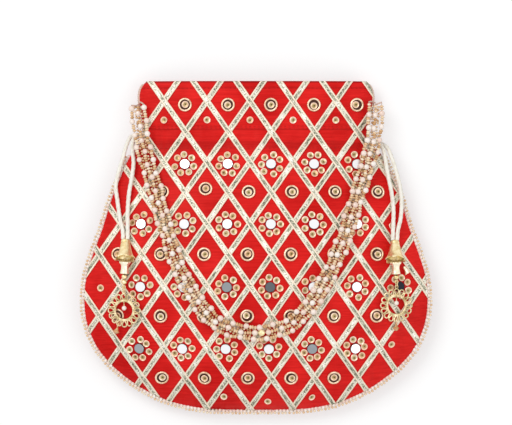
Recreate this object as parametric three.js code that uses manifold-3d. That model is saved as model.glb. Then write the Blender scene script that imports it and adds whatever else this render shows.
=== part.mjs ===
// Potli bag lying on its back: +Z up, mouth towards +Y, front panel on top. Millimetres.
import * as THREE from 'three';
import { mergeVertices } from 'three/addons/utils/BufferGeometryUtils.js';
import Module from 'manifold-3d';

const wasm = await Module();
wasm.setup();

// Fabric shell
const PANEL_WALL = 1.2; // silk with its interfacing
const SEAM_ALLOWANCE = 2.2; // width of the sewn rim where the two panels meet
const SEAM_GAP = 0.3; // between the panels' rims
const FIT_GAP = 0.3; // running clearance between neighbouring pieces
const MOUTH_Y = 118.6;
// Half width of the bag at heights along Y, from the mouth to the bottom
const SIDE_SEAM = [
  [78.4, MOUTH_Y], [82.6, 113.8], [83.9, 106.5], [82.4, 94], [80.6, 83], [82.6, 74.5], [89.6, 66], [97, 50],
  [103.6, 33], [109.4, 14], [116, -4], [120.8, -20], [122.5, -36], [120.9, -53], [114.2, -70],
  [104.4, -82.6], [92, -93.5], [77, -103.2], [59, -110.8], [37, -115.2], [14, -116.2],
];
// Height of the side seam over the floor, and of the front's crown over the seam, at heights along Y
const SEAM_HEIGHT = [[10, -117], [13.2, -70], [14, -20], [12.5, 30], [10, 62], [9, 85], [9, MOUTH_Y]];
const CROWN = [
  [0, -116.2], [4.4, -112.5], [9, -105], [14.2, -92], [19, -71], [22, -40], [21.6, -8], [18, 28],
  [12.6, 56], [10.2, 68], [9.8, 77], [9.6, 86], [9, 98], [9, MOUTH_Y],
];
const BACK_SAG = 1.5; // how much deeper than the seam's height the back would hang with no floor under it
const FULL_Y = 40; // below this the section is a pillow's, above MOUTH_FULL_Y a flat tube's
const MOUTH_FULL_Y = 75;

// Lining
const LINING_WALL = 0.7;
const LINING_GAP = 1.2; // from the panels' walls
const LINING_SIDE_GAP = 4; // from their sewn rims
const LINING_TOP_Y = 111;
const LINING_END_Y = -92;
const LINING_MIN_RISE = 0.9; // half height of its flat end where the panels close in

// Drawstrings and their channel
const CORD_R = 1.5;
const CHANNEL_Y = 77.3;
const CHANNEL_SPREAD = 20;
const CORD_OFFSET_Y = 3.1; // each run's distance from the channel's middle line
const CHANNEL_NARROWING = 17.4; // how far the lining stands in at the channel's ends
const CORD_TURN_X = 73;
const EXIT_RISE = 1.75; // each end's height over or under the seam where it leaves
const SLIT_LENGTH = 14; // across the seam
const SLIT_INSET = 1; // of its middle from the seam

// Lace lattice
const LACE_WIDTH = 4.4;
const LACE_THICKNESS = 0.6;
const LACE_GAP = 0.6;
const LACE_PITCH_X = 30.6;
const LACE_PITCH_Y = 43.7;
const LACE_ORIGIN = [-4.3, 104.4]; // a crossing of the topmost row
const LACE_INSET = 2.6; // from the seam
const LACE_ROWS = 11;
const LACE_SAG = 0.09; // how far a straight stretch may stray from the panel's curve

// Sewn ornaments
const ORNAMENT_RISE = 0.7;
const ORNAMENT_ROOT = 0.6; // how deep their stitching sits in the panel
const FLOWER_PEAK_R = 9.2;
const FLOWER_VALLEY_R = 7.6;
const FLOWER_PETALS = 7;
const BUTTON_R = 5;
const SEQUIN_R = 2.5;
const EDGE_MARGIN = 3;
const TOP_SEQUIN_SHIFT = 8.2; // the sequins under the hem sit above their diamonds' middles
const LOOSE_SEQUINS = [[96.9, 15.3], [-110.4, -28.8], [96.2, -68.7], [-22.8, -105.8], [8.5, -109.3], [39.6, -106.4]];
const MIRROR_R = 3.5;
const MIRROR_THICKNESS = 0.7;

// Bead edging along the seam
const EDGING_R = 1.1;
const EDGING_TOP_Y = 66;

// Garland handle
const PEARL_R = 2;
const SEED_R = 0.95;
const BEAD_REPEAT = 9.6;
const STRAND_SPACING = 4.5;
const STRAND_SPREAD = 5.6; // spacing beside the neck
const CENTRE_BEAD_R = 2.5;
const CENTRE_BEAD_X = 3.9;
const CENTRE_BEAD_LIFT = 4.4;
const WINDING_R = 2.4;
const WINDING_LENGTH = 8;
const WINDING_Y = 112;
// The middle strand's route, with its lift over the front panel
const STRAND_LEFT = [
  [-84.6, 106, 4.6], [-84.2, 98, 5.6], [-82.6, 88, 7], [-81.4, 77.3, 7.4], [-79.4, 68, 6.6], [-76.8, 58.8, 5],
  [-74.1, 48.8, 4.1], [-71.2, 40.2, 4], [-68.7, 30.3, 4], [-66, 20.3, 4], [-62.6, 10, 4], [-58, -6, 4],
  [-53, -17.5, 4], [-48, -26.5, 4], [-42.7, -35.3, 4], [-37, -43.8, 4], [-29.9, -51.2, 4], [-21.4, -56, 4],
  [-11.4, -59.2, 4], [-1.8, -60.2, 4],
];
const STRAND_RIGHT = [
  [10, -59.5, 4], [18, -57, 4], [26.5, -52.4, 4], [34.2, -45.6, 4], [40, -38.1, 4], [45.6, -29.6, 4],
  [50, -21.4, 4], [53.8, -13.9, 4], [57.7, -5.3, 4], [61.6, 4.6, 4], [65, 13.6, 4], [68.2, 24.6, 4],
  [72.2, 38.1, 4], [75.9, 48.8, 4.1], [79.6, 60.4, 5.4], [82.6, 71.6, 7], [84.4, 83, 7.2], [85.2, 94, 5.8],
  [85, 106, 4.6],
];

// Tassels, each from its cap's top down to the pendant
const CAP_LENGTH = 14.6;
const CAP_TOP_R = 3.3;
const CAP_RIM_R = 7;
const CAP_WALL = 0.7;
const CAP_REST = 4.8; // height of the cap's top over the panel
const CAP_RIM_REST = 8.9;
const BELL_TOP_R = 3.9;
const BELL_WAIST_R = 2.1;
const BELL_MOUTH_R = 3;
const BELL_LENGTH = 7.2;
const METAL_BEAD_R = 1.9;
const PIN_R = 0.4;
const PIN_START = 0.62; // share of the way down the cap where the pin's head sits
const PIN_HOLE_R = 0.7;
const LOOP_R = 1.1; // small eyes in the ring's plane
const LOOP_WIRE = 0.35;
const JUMP_RING_R = 1.7;
const JUMP_RING_WIRE = 0.3;
const PENDANT_REST = 3.4;
const PENDANT_PEAK_R = 12.2;
const PENDANT_VALLEY_R = 11.4;
const PENDANT_HOLE_R = 6;
const PENDANT_THICKNESS = 1.4;
const PENDANT_PETALS = 16;
const SLOT_INNER_R = 7.5;
const SLOT_OUTER_R = 10.4;
const SLOT_INNER_HALF = 0.6;
const SLOT_OUTER_HALF = 1.2;
const DROP_WIRE = 0.3;
const PEARL_DROP_LOOP_R = 1.6;
const PEARL_DROP_R = 1.7;
const PEARL_DROP_PIN = 2.2;
const AMBER_LOOP_R = 1.75;
const AMBER_R = 1.7;
const AMBER_LENGTH = 4.4;
const TASSELS = [
  { side: 'left', x: -92.6, capY: 5.2, pendantY: -44.2, amberPetal: 11, beads: ['lower', 'upper'] },
  { side: 'right', x: 98.6, capY: 4.4, pendantY: -40.8, amberPetal: 12, beads: ['lower'] },
];
const SIDE_BELL = { length: 5.6, topR: 1.2, mouthR: 2.4, wall: 0.5, x: 6.4, y: -18, turn: 0.6, rest: 3.1 };
// Drawstring legs from the seam's slit to the cap, with their lift over the front panel
const LEGS = {
  left_front: [
    [-80.7, 80.4, EXIT_RISE], [-84, 80.4, 1.9], [-86.8, 79, 2.3], [-88, 74, 2.9], [-88, 68, 3.6], [-87.2, 60, 3.9],
    [-88.4, 50, 3.7], [-90.4, 38, 3.4], [-91.2, 26, 3.5], [-91.1, 14, 4.4], [-91, 5.8, 4.8],
  ],
  left_back: [
    [-80.7, 80.4, -EXIT_RISE], [-85, 80.4, -1.8], [-89.6, 79, -0.8], [-92.6, 73, 1.2], [-95, 64, 3.2],
    [-98, 54, 3.8], [-100, 44, 3.8], [-98.6, 33, 3.5], [-96.6, 20, 3.7], [-94.6, 12, 4.4], [-94.2, 5.8, 4.8],
  ],
  right_front: [
    [82.6, 74.2, EXIT_RISE], [86.4, 74.2, 1.9], [89.6, 72.6, 2.4], [91.4, 68, 3.1], [92.4, 62, 3.9],
    [94, 52, 3.9], [96.4, 40, 3.5], [97.8, 27, 3.5], [97.4, 14, 4.4], [97, 5, 4.8],
  ],
  right_back: [
    [82.6, 74.2, -EXIT_RISE], [88, 74.6, -1.7], [93.4, 71.8, -0.2], [96.6, 65, 2], [99.6, 56, 3.7], [102.6, 44, 3.9],
    [103.8, 33, 3.7], [103, 21, 3.7], [100.8, 12, 4.4], [100.2, 5, 4.8],
  ],
};

const SILK = { color: 0xd81e20, roughness: 0.5, metalness: 0 };
const LINING = { color: 0xb01018, roughness: 0.6, metalness: 0 };
const LACE = { color: 0xd8ceb4, roughness: 0.4, metalness: 0.6 };
const GOLD = { color: 0xd6b466, roughness: 0.3, metalness: 1 };
const ANTIQUE = { color: 0xa98c52, roughness: 0.4, metalness: 1 };
const GLASS = { color: 0xe8eaec, roughness: 0.05, metalness: 1 };
const IVORY = { color: 0xf4eede, roughness: 0.6, metalness: 0 };
const PEARL = { color: 0xf2d9cc, roughness: 0.3, metalness: 0 };
const AMBER = { color: 0xc98a3c, roughness: 0.2, metalness: 0 };

const model = new THREE.Group();

function add(name, geometry, finish, parent = model) {
  const mesh = new THREE.Mesh(geometry, new THREE.MeshStandardMaterial(finish));
  mesh.name = name;
  parent.add(mesh);
  return mesh;
}

// A smooth value along Y through [value, y] points
function profile(points) {
  const curve = new THREE.SplineCurve(points.map(([value, y]) => new THREE.Vector2(value, y)));
  const samples = curve.getPoints(points.length * 40).sort((a, b) => a.y - b.y);
  return (y) => {
    const above = samples.findIndex((sample) => sample.y >= y);
    if (above === -1) return samples[samples.length - 1].x;
    if (above === 0) return samples[0].x;
    const low = samples[above - 1];
    const high = samples[above];
    return THREE.MathUtils.mapLinear(y, low.y, high.y, low.x, high.x);
  };
}

const halfWidth = profile(SIDE_SEAM);
const seamHeight = profile(SEAM_HEIGHT);
const crown = profile(CROWN);
const bottomY = SIDE_SEAM[SIDE_SEAM.length - 1][1];

// Share of the crown's height across the bag: a pillow's section in the belly, a flat tube's at the mouth
function bulge(u, y) {
  const flat = THREE.MathUtils.smoothstep(y, FULL_Y, MOUTH_FULL_Y);
  const inside = Math.max(0, 1 - Math.abs(u) ** (2 + 2 * flat));
  return inside ** (0.8 - 0.3 * flat);
}

function frontHeight(x, y) {
  return seamHeight(y) + SEAM_GAP / 2 + crown(y) * bulge(Math.min(1, Math.abs(x) / halfWidth(y)), y);
}

function frontNormal(x, y) {
  const step = 0.5;
  const slopeX = (frontHeight(x + step, y) - frontHeight(x - step, y)) / (2 * step);
  const slopeY = (frontHeight(x, y + step) - frontHeight(x, y - step)) / (2 * step);
  return new THREE.Vector3(-slopeX, -slopeY, 1).normalize();
}

function overFront([x, y, lift]) {
  return new THREE.Vector3(x, y, frontHeight(x, y) + lift);
}

// A closed body from triangles, turned so that its faces point out
function closedBody(points, triangles) {
  let volume = 0;
  for (const [a, b, c] of triangles) volume += points[a].dot(new THREE.Vector3().crossVectors(points[b], points[c]));
  const facing = volume < 0 ? triangles.map(([a, b, c]) => [a, c, b]) : triangles;
  const geometry = new THREE.BufferGeometry().setFromPoints(points);
  geometry.setIndex(facing.flat());
  return geometry;
}

// Two matching grids of points joined along their borders
function shellBetween(outer, inner) {
  const rows = outer.length;
  const columns = outer[0].length;
  const points = [...outer.flat(), ...inner.flat()];
  const at = (layer, row, column) => (layer * rows + row) * columns + column;
  const triangles = [];
  const quad = (a, b, c, d) => triangles.push([a, b, c], [a, c, d]);
  const lastRow = rows - 1;
  const lastColumn = columns - 1;
  for (let row = 0; row < lastRow; row++) {
    for (let column = 0; column < lastColumn; column++) {
      quad(at(0, row, column), at(0, row + 1, column), at(0, row + 1, column + 1), at(0, row, column + 1));
      quad(at(1, row, column), at(1, row, column + 1), at(1, row + 1, column + 1), at(1, row + 1, column));
    }
    quad(at(0, row, 0), at(1, row, 0), at(1, row + 1, 0), at(0, row + 1, 0));
    quad(at(0, row, lastColumn), at(0, row + 1, lastColumn), at(1, row + 1, lastColumn), at(1, row, lastColumn));
  }
  for (let column = 0; column < lastColumn; column++) {
    quad(at(0, 0, column), at(0, 0, column + 1), at(1, 0, column + 1), at(1, 0, column));
    quad(at(0, lastRow, column), at(1, lastRow, column), at(1, lastRow, column + 1), at(0, lastRow, column + 1));
  }
  return closedBody(points, triangles);
}

// Boolean helpers on closed meshes
function toSolid(geometry, matrix = new THREE.Matrix4()) {
  const bare = geometry.clone().applyMatrix4(matrix);
  bare.deleteAttribute('normal');
  bare.deleteAttribute('uv');
  const merged = mergeVertices(bare, 1e-4);
  return new wasm.Manifold(new wasm.Mesh({
    numProp: 3,
    vertProperties: new Float32Array(merged.attributes.position.array),
    triVerts: new Uint32Array(merged.index.array),
  }));
}

function toGeometry(solid) {
  const mesh = solid.getMesh();
  const geometry = new THREE.BufferGeometry();
  geometry.setAttribute('position', new THREE.BufferAttribute(mesh.vertProperties, 3));
  geometry.setIndex(new THREE.BufferAttribute(mesh.triVerts, 1));
  return geometry;
}

// Columns closer together towards the edges
function columnShares(count) {
  return Array.from({ length: count + 1 }, (_, i) => Math.sin(Math.PI * (i / count - 0.5)));
}

// Front panel and back panel
const PANEL_COLUMNS = 14;
const BACK_COLUMNS = 10;

// One row at each of the side seam's points
function panelGrid(inset, sectionHeight, columns) {
  const shrink = 1 - inset / (MOUTH_Y - bottomY);
  return SIDE_SEAM.map(([x, y]) => columnShares(columns).map((u) => new THREE.Vector3(
    u * (x - inset),
    MOUTH_Y - (MOUTH_Y - y) * shrink,
    sectionHeight(u, y),
  )));
}

function wallAt(y) {
  return PANEL_WALL * Math.min(1, crown(y) / 4);
}

function frontPanelBody() {
  const base = (y) => seamHeight(y) + SEAM_GAP / 2;
  const outer = panelGrid(0, (u, y) => base(y) + crown(y) * bulge(u, y), PANEL_COLUMNS);
  const innerHeight = (u, y) => base(y) + (crown(y) - wallAt(y)) * bulge(u, y);
  const inner = panelGrid(SEAM_ALLOWANCE, innerHeight, PANEL_COLUMNS);
  return shellBetween(outer, inner);
}

// How far the back would hang under the seam; it is flat where it meets the floor
function backDepth(y) {
  return BACK_SAG * seamHeight(y) * Math.min(1, crown(y) / 9);
}

function backPanelBody() {
  const base = (y) => seamHeight(y) - SEAM_GAP / 2;
  const height = (thickness) => (u, y) => Math.max(thickness, base(y) - (backDepth(y) - thickness) * bulge(u, y));
  const outer = panelGrid(0, (u, y) => Math.max(0, base(y) - backDepth(y) * bulge(u, y)), BACK_COLUMNS);
  const inner = panelGrid(SEAM_ALLOWANCE, (u, y) => height(wallAt(y))(u, y), BACK_COLUMNS);
  return shellBetween(outer, inner);
}

// Slit in the side seam where a drawstring comes out
function slit(side, y) {
  const reach = CORD_R + FIT_GAP;
  const box = new THREE.BoxGeometry(SLIT_LENGTH, 2 * reach, 2 * (EXIT_RISE + reach));
  return toSolid(box, new THREE.Matrix4().makeTranslation(side * (halfWidth(y) - SLIT_INSET), y, seamHeight(y)));
}

const leftExitY = CHANNEL_Y + CORD_OFFSET_Y;
const rightExitY = CHANNEL_Y - CORD_OFFSET_Y;

// Places of the ornaments: flowers in one set of diamonds, buttons in the other
function fitsInside(x, y, radius) {
  return Math.abs(x) + radius + EDGE_MARGIN < halfWidth(y);
}

function diamondRow(row) {
  const shift = row % 2 ? 0 : LACE_PITCH_X / 2;
  const y = LACE_ORIGIN[1] - (row * LACE_PITCH_Y) / 2;
  return Array.from({ length: 11 }, (_, i) => [LACE_ORIGIN[0] + shift + (i - 5) * LACE_PITCH_X, y]);
}

const flowers = [];
const buttons = [];
const sequins = [...LOOSE_SEQUINS];
for (let row = 0; row < LACE_ROWS - 1; row++) {
  for (const [x, y] of diamondRow(row)) {
    if (row % 2 === 0 && row > 0) {
      if (fitsInside(x, y, FLOWER_PEAK_R)) flowers.push([x, y]);
    } else if (row === 1) {
      if (fitsInside(x, y, BUTTON_R)) sequins.push([x, y + TOP_SEQUIN_SHIFT]);
    } else if (fitsInside(x, y, BUTTON_R)) buttons.push([x, y]);
  }
}

// A flat ornament's place: its own plane lies on the panel, its Y points up the bag
function seatOnFront(x, y, lift = 0) {
  const normal = frontNormal(x, y);
  const right = new THREE.Vector3(0, 1, 0).cross(normal).normalize();
  const up = new THREE.Vector3().crossVectors(normal, right);
  const matrix = new THREE.Matrix4().makeBasis(right, up, normal);
  return matrix.setPosition(overFront([x, y, 0]).addScaledVector(normal, lift));
}

function radialShape(count, radiusOf) {
  const points = Array.from({ length: count }, (_, i) => {
    const angle = Math.PI / 2 + (2 * Math.PI * i) / count;
    return new THREE.Vector2(radiusOf(i) * Math.cos(angle), radiusOf(i) * Math.sin(angle));
  });
  return new THREE.Shape(points);
}

function ornament(shape) {
  const depth = ORNAMENT_ROOT + ORNAMENT_RISE;
  return new THREE.ExtrudeGeometry(shape, { depth, bevelEnabled: false }).translate(0, 0, -ORNAMENT_ROOT);
}

const flowerBody = ornament(radialShape(2 * FLOWER_PETALS, (i) => (i % 2 ? FLOWER_VALLEY_R : FLOWER_PEAK_R)));
const buttonBody = ornament(radialShape(7, () => BUTTON_R));
const sequinBody = ornament(radialShape(5, () => SEQUIN_R));

let frontPanel = toSolid(frontPanelBody());
for (const [places, body] of [[flowers, flowerBody], [buttons, buttonBody], [sequins, sequinBody]]) {
  for (const [x, y] of places) frontPanel = frontPanel.add(toSolid(body, seatOnFront(x, y)));
}
let backPanel = toSolid(backPanelBody());
for (const [side, y] of [[-1, leftExitY], [1, rightExitY]]) {
  frontPanel = frontPanel.subtract(slit(side, y));
  backPanel = backPanel.subtract(slit(side, y));
}
add('front_panel', toGeometry(frontPanel), SILK);
add('back_panel', toGeometry(backPanel), SILK);

// Mirrors in the flowers
const mirrorBody = new THREE.ExtrudeGeometry(radialShape(8, () => MIRROR_R), {
  depth: MIRROR_THICKNESS,
  bevelEnabled: false,
});
flowers.forEach(([x, y], index) => {
  const mirror = add(`mirror_${String(index + 1).padStart(2, '0')}`, mirrorBody, GLASS);
  seatOnFront(x, y, ORNAMENT_RISE + FIT_GAP).decompose(mirror.position, mirror.quaternion, mirror.scale);
});

// Lining pouch, drawn in at the channel to leave room for the drawstrings
function channelShare(y) {
  return Math.exp(-(((y - CHANNEL_Y) / CHANNEL_SPREAD) ** 4));
}

function liningLoop(y, inset) {
  const stand = Math.max(LINING_GAP, (2 * CORD_R + 6 * FIT_GAP) * channelShare(y));
  const width = halfWidth(y) - SEAM_ALLOWANCE - LINING_SIDE_GAP - CHANNEL_NARROWING * channelShare(y) - inset;
  const front = Math.max(LINING_MIN_RISE - inset / 2, crown(y) - PANEL_WALL - stand - inset);
  const floor = PANEL_WALL + stand + inset;
  const depth = Math.max(LINING_MIN_RISE - inset / 2, backDepth(y) - PANEL_WALL - stand - inset);
  const shares = columnShares(8);
  const top = shares.map((u) => new THREE.Vector3(u * width, y, seamHeight(y) + front * bulge(u, y)));
  const under = shares.slice(1, -1).reverse().map((u) => new THREE.Vector3(
    u * width,
    y,
    Math.max(floor, seamHeight(y) - depth * bulge(u, y)),
  ));
  return [...top, ...under];
}

function liningBody() {
  const stations = [LINING_TOP_Y, 94, 84, 70, 58, 36, -10, -62, LINING_END_Y];
  const outer = stations.map((y) => liningLoop(y, 0));
  const inner = stations.map((y) => liningLoop(y === LINING_END_Y ? y + LINING_WALL : y, LINING_WALL));
  return { outer, inner };
}

// The loop has one point at each side, so the far end's strips pair the points above with those below
function pouch({ outer, inner }) {
  const rows = outer.length;
  const count = outer[0].length;
  const points = [...outer.flat(), ...inner.flat()];
  const at = (layer, row, index) => (layer * rows + row) * count + (index % count);
  const triangles = [];
  const quad = (a, b, c, d) => triangles.push([a, b, c], [a, c, d]);
  for (let index = 0; index < count; index++) {
    for (let row = 0; row < rows - 1; row++) {
      quad(at(0, row, index), at(0, row + 1, index), at(0, row + 1, index + 1), at(0, row, index + 1));
      quad(at(1, row, index), at(1, row, index + 1), at(1, row + 1, index + 1), at(1, row + 1, index));
    }
    quad(at(0, 0, index), at(0, 0, index + 1), at(1, 0, index + 1), at(1, 0, index));
  }
  for (const layer of [0, 1]) {
    const fan = Array.from({ length: count }, (_, index) => at(layer, rows - 1, index));
    const half = count / 2;
    const close = (a, b, c) => triangles.push(layer ? [a, c, b] : [a, b, c]);
    close(fan[0], fan[count - 1], fan[1]);
    for (let index = 1; index < half - 1; index++) {
      close(fan[index], fan[count - index], fan[count - index - 1]);
      close(fan[index], fan[count - index - 1], fan[index + 1]);
    }
    close(fan[half - 1], fan[half + 1], fan[half]);
  }
  return closedBody(points, triangles);
}

add('lining', pouch(liningBody()), LINING);

// Lace lattice: pads where two ribbons cross, joined by ribbons that end at the seam
function insideLace(x, y) {
  return y < MOUTH_Y - LACE_INSET && y > bottomY + LACE_INSET && Math.abs(x) < halfWidth(y) - LACE_INSET;
}

function laceBody() {
  const halfX = LACE_PITCH_X / 2;
  const halfY = LACE_PITCH_Y / 2;
  const diagonal = Math.hypot(halfX, halfY);
  const padX = ((LACE_WIDTH / 2) * diagonal) / halfY;
  const padY = ((LACE_WIDTH / 2) * diagonal) / halfX;
  const plan = [];
  const faces = [];
  const put = (x, y) => plan.push([x, y]) - 1;
  const pads = new Map();
  for (let row = 0; row < LACE_ROWS; row++) {
    for (let column = -5; column <= 5; column++) {
      const x = LACE_ORIGIN[0] + column * LACE_PITCH_X + (row % 2 ? halfX : 0);
      const y = LACE_ORIGIN[1] - row * halfY;
      const whole = [[padX, 0], [-padX, 0], [0, padY], [0, -padY]].every(([dx, dy]) => insideLace(x + dx, y + dy));
      if (whole) {
        const pad = { x, y, n: put(x, y + padY), e: put(x + padX, y), s: put(x, y - padY), w: put(x - padX, y) };
        pads.set(`${row},${column + (row % 2 ? 0.5 : 0)}`, pad);
        faces.push([pad.n, pad.w, pad.s, pad.e]);
      }
    }
  }
  const corner = { ne: ['n', 'e'], nw: ['w', 'n'], sw: ['s', 'w'], se: ['e', 's'] };
  const across = { ne: ['w', 's'], nw: ['s', 'e'], sw: ['e', 'n'], se: ['n', 'w'] };
  for (const [key, pad] of pads) {
    const [row, column] = key.split(',').map(Number);
    for (const [name, sx, sy] of [['ne', 1, 1], ['nw', -1, 1], ['sw', -1, -1], ['se', 1, -1]]) {
      const other = pads.get(`${row - sy},${column + sx / 2}`);
      if (other && sy > 0) continue; // drawn once, from its upper end
      const from = corner[name].map((c) => pad[c]);
      const reach = other ? 1 : 1 - (padX * 0.6) / halfX;
      const ends = from.map((index, side) => {
        if (other) return plan[other[across[name][side]]];
        const [x, y] = plan[index];
        let length = 0;
        while (length < reach && insideLace(x + sx * halfX * (length + 0.01), y + sy * halfY * (length + 0.01))) {
          length += 0.01;
        }
        return [x + sx * halfX * length, y + sy * halfY * length];
      });
      const start = from.map((index) => plan[index]);
      const span = Math.min(...[0, 1].map((i) => Math.hypot(ends[i][0] - start[i][0], ends[i][1] - start[i][1])));
      if (span < 1) continue;
      const heights = [start[0], ends[0]].map(([x, y]) => frontHeight(x, y));
      const middle = frontHeight((start[0][0] + ends[0][0]) / 2, (start[0][1] + ends[0][1]) / 2);
      const rise = Math.abs(middle - (heights[0] + heights[1]) / 2);
      const pieces = THREE.MathUtils.clamp(Math.ceil(Math.sqrt(rise / LACE_SAG)), 1, 3);
      let last = from;
      for (let piece = 1; piece <= pieces; piece++) {
        const share = piece / pieces;
        const next = other && piece === pieces
          ? across[name].map((c) => other[c])
          : start.map(([x, y], i) => put(x + (ends[i][0] - x) * share, y + (ends[i][1] - y) * share));
        faces.push([last[0], last[1], next[1], next[0]]);
        last = next;
      }
    }
  }
  return { plan, faces };
}

// A thin slab over the front panel from a plan of four-sided faces
function slabOverFront({ plan, faces }) {
  const used = [...new Set(faces.flat())];
  const place = new Map(used.map((index, order) => [index, order]));
  const level = (lift) => used.map((index) => {
    const [x, y] = plan[index];
    return overFront([x, y, 0]).addScaledVector(frontNormal(x, y), lift);
  });
  const points = [...level(LACE_GAP), ...level(LACE_GAP + LACE_THICKNESS)];
  const top = used.length;
  const edges = new Set();
  const triangles = [];
  for (const face of faces) {
    const [a, b, c, d] = face.map((index) => place.get(index));
    const area = signedArea(face.map((index) => plan[index]));
    const ring = area > 0 ? [a, b, c, d] : [d, c, b, a];
    triangles.push([ring[0] + top, ring[1] + top, ring[2] + top], [ring[0] + top, ring[2] + top, ring[3] + top]);
    triangles.push([ring[0], ring[2], ring[1]], [ring[0], ring[3], ring[2]]);
    ring.forEach((from, i) => edges.add(`${from},${ring[(i + 1) % 4]}`));
  }
  for (const edge of edges) {
    const [from, to] = edge.split(',').map(Number);
    if (!edges.has(`${to},${from}`)) triangles.push([from, to, to + top], [from, to + top, from + top]);
  }
  return closedBody(points, triangles);
}

function signedArea(ring) {
  return ring.reduce((sum, [x, y], i) => {
    const [nextX, nextY] = ring[(i + 1) % ring.length];
    return sum + x * nextY - nextX * y;
  }, 0);
}

add('gota_lattice', slabOverFront(laceBody()), LACE);

// Round cords and the bead edging
function circleShape(radius, sides) {
  return radialShape(sides, () => radius);
}

function tube(points, radius, sides, step) {
  const path = new THREE.CatmullRomCurve3(points, false, 'centripetal');
  const steps = Math.min(80, Math.max(2, Math.round(path.getLength() / step)));
  return new THREE.ExtrudeGeometry(circleShape(radius, sides), { steps, extrudePath: path, bevelEnabled: false });
}

function edgingRoute() {
  const curve = new THREE.SplineCurve(SIDE_SEAM.map(([x, y]) => new THREE.Vector2(x, y)));
  const side = curve.getSpacedPoints(60).filter((seam) => seam.y < EDGING_TOP_Y);
  const outward = EDGING_R + FIT_GAP;
  const right = side.map((seam, i) => {
    const before = side[Math.max(0, i - 1)];
    const after = side[Math.min(side.length - 1, i + 1)];
    const along = after.clone().sub(before).normalize();
    return new THREE.Vector3(seam.x - along.y * outward, seam.y + along.x * outward, seamHeight(seam.y));
  });
  const bottom = right.pop();
  const middle = new THREE.Vector3(0, bottomY - outward, seamHeight(bottomY));
  const end = new THREE.Vector3(bottom.x, bottomY - outward, bottom.z);
  const half = [...right.filter((_, i) => i % 2 === 0), end];
  const left = half.map((point) => new THREE.Vector3(-point.x, point.y, point.z));
  return [...left, middle, ...half.reverse()];
}

add('bead_edging', tube(edgingRoute(), EDGING_R, 5, 9), PEARL);

// Drawstring runs in the channel: over the lining, round its side and back under it
function channelRun(side, y) {
  const seam = seamHeight(y);
  const over = (x) => (crown(y) - PANEL_WALL) * bulge(x / (halfWidth(y) - SEAM_ALLOWANCE), y) - CORD_R - 2 * FIT_GAP;
  const under = (x) => {
    const depth = (backDepth(y) - PANEL_WALL) * bulge(x / (halfWidth(y) - SEAM_ALLOWANCE), y);
    return Math.max(PANEL_WALL, seam - depth) + CORD_R + 2 * FIT_GAP - seam;
  };
  const stations = [-62, -50, -30, 0, 30, 52];
  const exit = halfWidth(y) - 0.6;
  const turn = [[64, 3.4], [70.8, 2.1], [CORD_TURN_X, 0], [70.8, -2.1], [64, -3.4]];
  const route = [
    [-exit, EXIT_RISE], [-exit + 8, EXIT_RISE], ...stations.map((x) => [x, over(x)]), ...turn,
    ...[...stations].reverse().map((x) => [x, under(x)]), [-exit + 8, -EXIT_RISE], [-exit, -EXIT_RISE],
  ];
  return route.map(([x, rise]) => new THREE.Vector3(-side * x, y, seam + rise));
}

add('drawstring_run_left', tube(channelRun(-1, leftExitY), CORD_R, 6, 10), IVORY);
add('drawstring_run_right', tube(channelRun(1, rightExitY), CORD_R, 6, 10), IVORY);
for (const [name, route] of Object.entries(LEGS)) {
  add(`drawstring_leg_${name}`, tube(route.map(overFront), CORD_R, 8, 8), IVORY);
}

// Bead strands: a pearl, then a stretch of seed beads, again and again along the route
function beadStrand(points) {
  const path = new THREE.CatmullRomCurve3(points, false, 'centripetal');
  path.arcLengthDivisions = 600;
  const length = path.getLength();
  const stations = [];
  for (let start = 0; start + 2 * PEARL_R <= length; start += BEAD_REPEAT) {
    stations.push([start, SEED_R], [start + PEARL_R, PEARL_R], [start + 2 * PEARL_R, SEED_R]);
  }
  const sides = 4;
  const ring = stations.flatMap(([distance, radius]) => {
    const centre = path.getPointAt(distance / length);
    const along = path.getTangentAt(distance / length);
    const side = new THREE.Vector3(0, 0, 1).cross(along).normalize();
    const up = new THREE.Vector3().crossVectors(along, side);
    return Array.from({ length: sides }, (_, i) => {
      const angle = (2 * Math.PI * i) / sides;
      return centre.clone().addScaledVector(side, radius * Math.cos(angle)).addScaledVector(up, radius * Math.sin(angle));
    });
  });
  const triangles = [];
  const count = stations.length;
  for (let row = 0; row < count - 1; row++) {
    for (let i = 0; i < sides; i++) {
      const a = row * sides + i;
      const b = row * sides + ((i + 1) % sides);
      triangles.push([a, b, b + sides], [a, b + sides, a + sides]);
    }
  }
  for (let i = 1; i < sides - 1; i++) {
    triangles.push([0, i + 1, i]);
    const end = (count - 1) * sides;
    triangles.push([end, end + i, end + i + 1]);
  }
  return closedBody(ring, triangles);
}

// A strand beside the middle one: the same route moved sideways, further beside the neck
function besideStrand(route, offset) {
  return route.map(([x, y, lift], i) => {
    const before = route[Math.max(0, i - 1)];
    const after = route[Math.min(route.length - 1, i + 1)];
    const along = new THREE.Vector2(after[0] - before[0], after[1] - before[1]).normalize();
    const spacing = THREE.MathUtils.lerp(STRAND_SPACING, STRAND_SPREAD, THREE.MathUtils.smoothstep(y, 20, 80));
    return [x - along.y * spacing * offset, y + along.x * spacing * offset, lift];
  });
}

const wholeRoute = [...STRAND_LEFT, ...STRAND_RIGHT];
add('bead_strand_inner', beadStrand(besideStrand(wholeRoute, 1).map(overFront)), PEARL);
add('bead_strand_outer', beadStrand(besideStrand(wholeRoute, -1).map(overFront)), PEARL);
add('bead_strand_middle_left', beadStrand(STRAND_LEFT.map(overFront)), PEARL);
add('bead_strand_middle_right', beadStrand(STRAND_RIGHT.map(overFront)), PEARL);

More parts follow.
